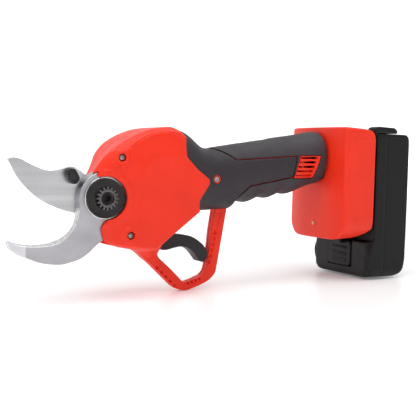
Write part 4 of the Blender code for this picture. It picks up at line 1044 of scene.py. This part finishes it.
def latch():
    s = Space((213.5, -17, -60), (227, 17, -29), 0.4)
    face = front_view(s, (-LATCH_HALF, -57.8), (LATCH_HALF, -36.2), 3.5, 5)
    button = both(face, layer(s.x, BLOCK_FRONT - 0.9, BLOCK_FRONT + 3.4), 0.8)
    button = either(button, block(s, (215.6, 217.8), (-7.6, 7.6), (-37.4, -31.5), 0.3), 0.2)
    button = either(button, block(s, (215.6, 223), (-7.6, 7.6), (-38.8, -36.6), 0.3), 0.2)
    for number in range(LATCH_RIBS):
        height = -54.2 + number * LATCH_PITCH
        rib = block(s, (BLOCK_FRONT - 1.7, BLOCK_FRONT), (-10, 10), (height, height + 2.2), 0.8)
        button = either(button, rib, 0.6)
    nodes = ["battery_latch"]
    moulded("latch_button", button, s, nodes, "black_plastic", "battery_plastic", body="battery_latch")


# -------- room

def carried_over():
    """Looks for the CAD nodes that stay."""
    looks = {
        "gear_steel": ("drive_pin", "pinion_bearing", "bevel_pinion", "output_carrier", "planet_gear",
                       "gearbox_ring", "motor_pinion", "trigger_pin", "trigger_spring", "latch_spring",
                       "blade_sector"),
        "bronze": "pivot_bush", "bolt_steel": "pivot_bolt", "black_steel": "motor_can",
        "aluminium": "head_frame", "lens": "indicator", "cell_wrap": "battery_cell",
        "copper": ("motor_rotor", "terminal_positive", "terminal_negative", "contact"),
        "cable": ("motor_lead", "battery_lead"), "board_green": ("controller", "trigger_sensor"),
        "magnet": ("blade_magnet", "trigger_magnet"), "black_plastic": "terminal_block"}
    for name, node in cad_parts.items():
        if not node.hide_render:
            look = next(look for look, starts in looks.items() if name.startswith(starts))
            node.data.materials.clear()
            node.data.materials.append(LOOKS[look])


def area_light(name, place, target, size, power):
    data = bpy.data.lights.new(name, "AREA")
    data.shape, data.size, data.size_y = "RECTANGLE", size[0], size[1]
    data.energy = power
    light = placed(name, data)
    light.location = Vector(place) * MM + ORIGIN
    direction = Vector(target) * MM + ORIGIN - light.location
    light.rotation_euler = direction.to_track_quat("-Z", "Y").to_euler()


def room():
    scene = bpy.context.scene
    floor_mesh = bpy.data.meshes.new("floor")
    half = 6.0
    centre = Vector(FLOOR_POINT) * MM + ORIGIN
    along = Vector((math.cos(FLOOR_RISE), 0, math.sin(FLOOR_RISE)))
    corners = [centre + along * a * half + Vector((0, b * half, 0)) for a, b in CORNERS]
    floor_mesh.from_pydata([tuple(c) for c in corners], [], [(0, 1, 2, 3)])
    floor = placed("floor", floor_mesh)
    n = Nodes("floor_look")
    base = n.mix(n.remap(n.noise(3, 3)), (0.93, 0.93, 0.93, 1), (0.95, 0.95, 0.95, 1))
    away = n.add("ShaderNodeVectorMath", {0: n.place}, operation="LENGTH").outputs["Value"]
    n.set(Base_Color=base, Roughness=0.32, Specular_IOR_Level=0.3, Emission_Color=(1, 1, 1, 1),
          Emission_Strength=n.remap(away, 0.3, 1.1, 0.14, 1.0))
    floor_mesh.materials.append(n.material)

    world = bpy.data.worlds.new("studio")
    scene.world = world
    n = Nodes("studio", world, "Background", "Generated")
    depth = n.add("ShaderNodeSeparateXYZ", {0: n.place}).outputs["Y"]
    seen = n.add("ShaderNodeLightPath").outputs["Is Camera Ray"]
    glow = n.remap(depth, -0.75, 0.7, 0.25, 0.9)
    n.set(Color=(1, 1, 1, 1), Strength=n.maths("MAXIMUM", n.maths("MULTIPLY", seen, BACKDROP), glow))

    area_light("key", (80, -760, 900), (40, 0, 0), (1.2, 0.5), 3.5)
    area_light("left", (-950, -200, 350), (150, 0, 0), (0.8, 0.8), 1.4)
    area_light("top", (60, -160, 900), (60, 0, 0), (1.2, 0.6), 5.4)

    camera = placed("camera", bpy.data.cameras.new("camera"))
    look, up = Vector(CAMERA_LOOK).normalized(), Vector(CAMERA_UP)
    right = look.cross(up).normalized()
    up = right.cross(look)
    turn = Matrix((right, up, -look)).transposed()
    camera.matrix_world = Matrix.Translation(Vector(CAMERA_PLACE) * MM + ORIGIN) @ turn.to_4x4()
    camera.data.lens, camera.data.sensor_width = CAMERA_LENS, CAMERA_SENSOR
    camera.data.clip_start = 0.01
    scene.camera = camera
    scene.view_settings.view_transform = "Standard"


make_looks()
shell("left_shell", -1)
shell("right_shell", 1)
grips()
fixed_blade()
moving_blade()
magnet_holder()
pivot()
for screw_name, screw_place in HEAD_SCREWS.items():
    head_screw(screw_name, screw_place)
collar_screw()
trigger()
battery_housing()
dock()
battery_case()
latch()
carried_over()
room()
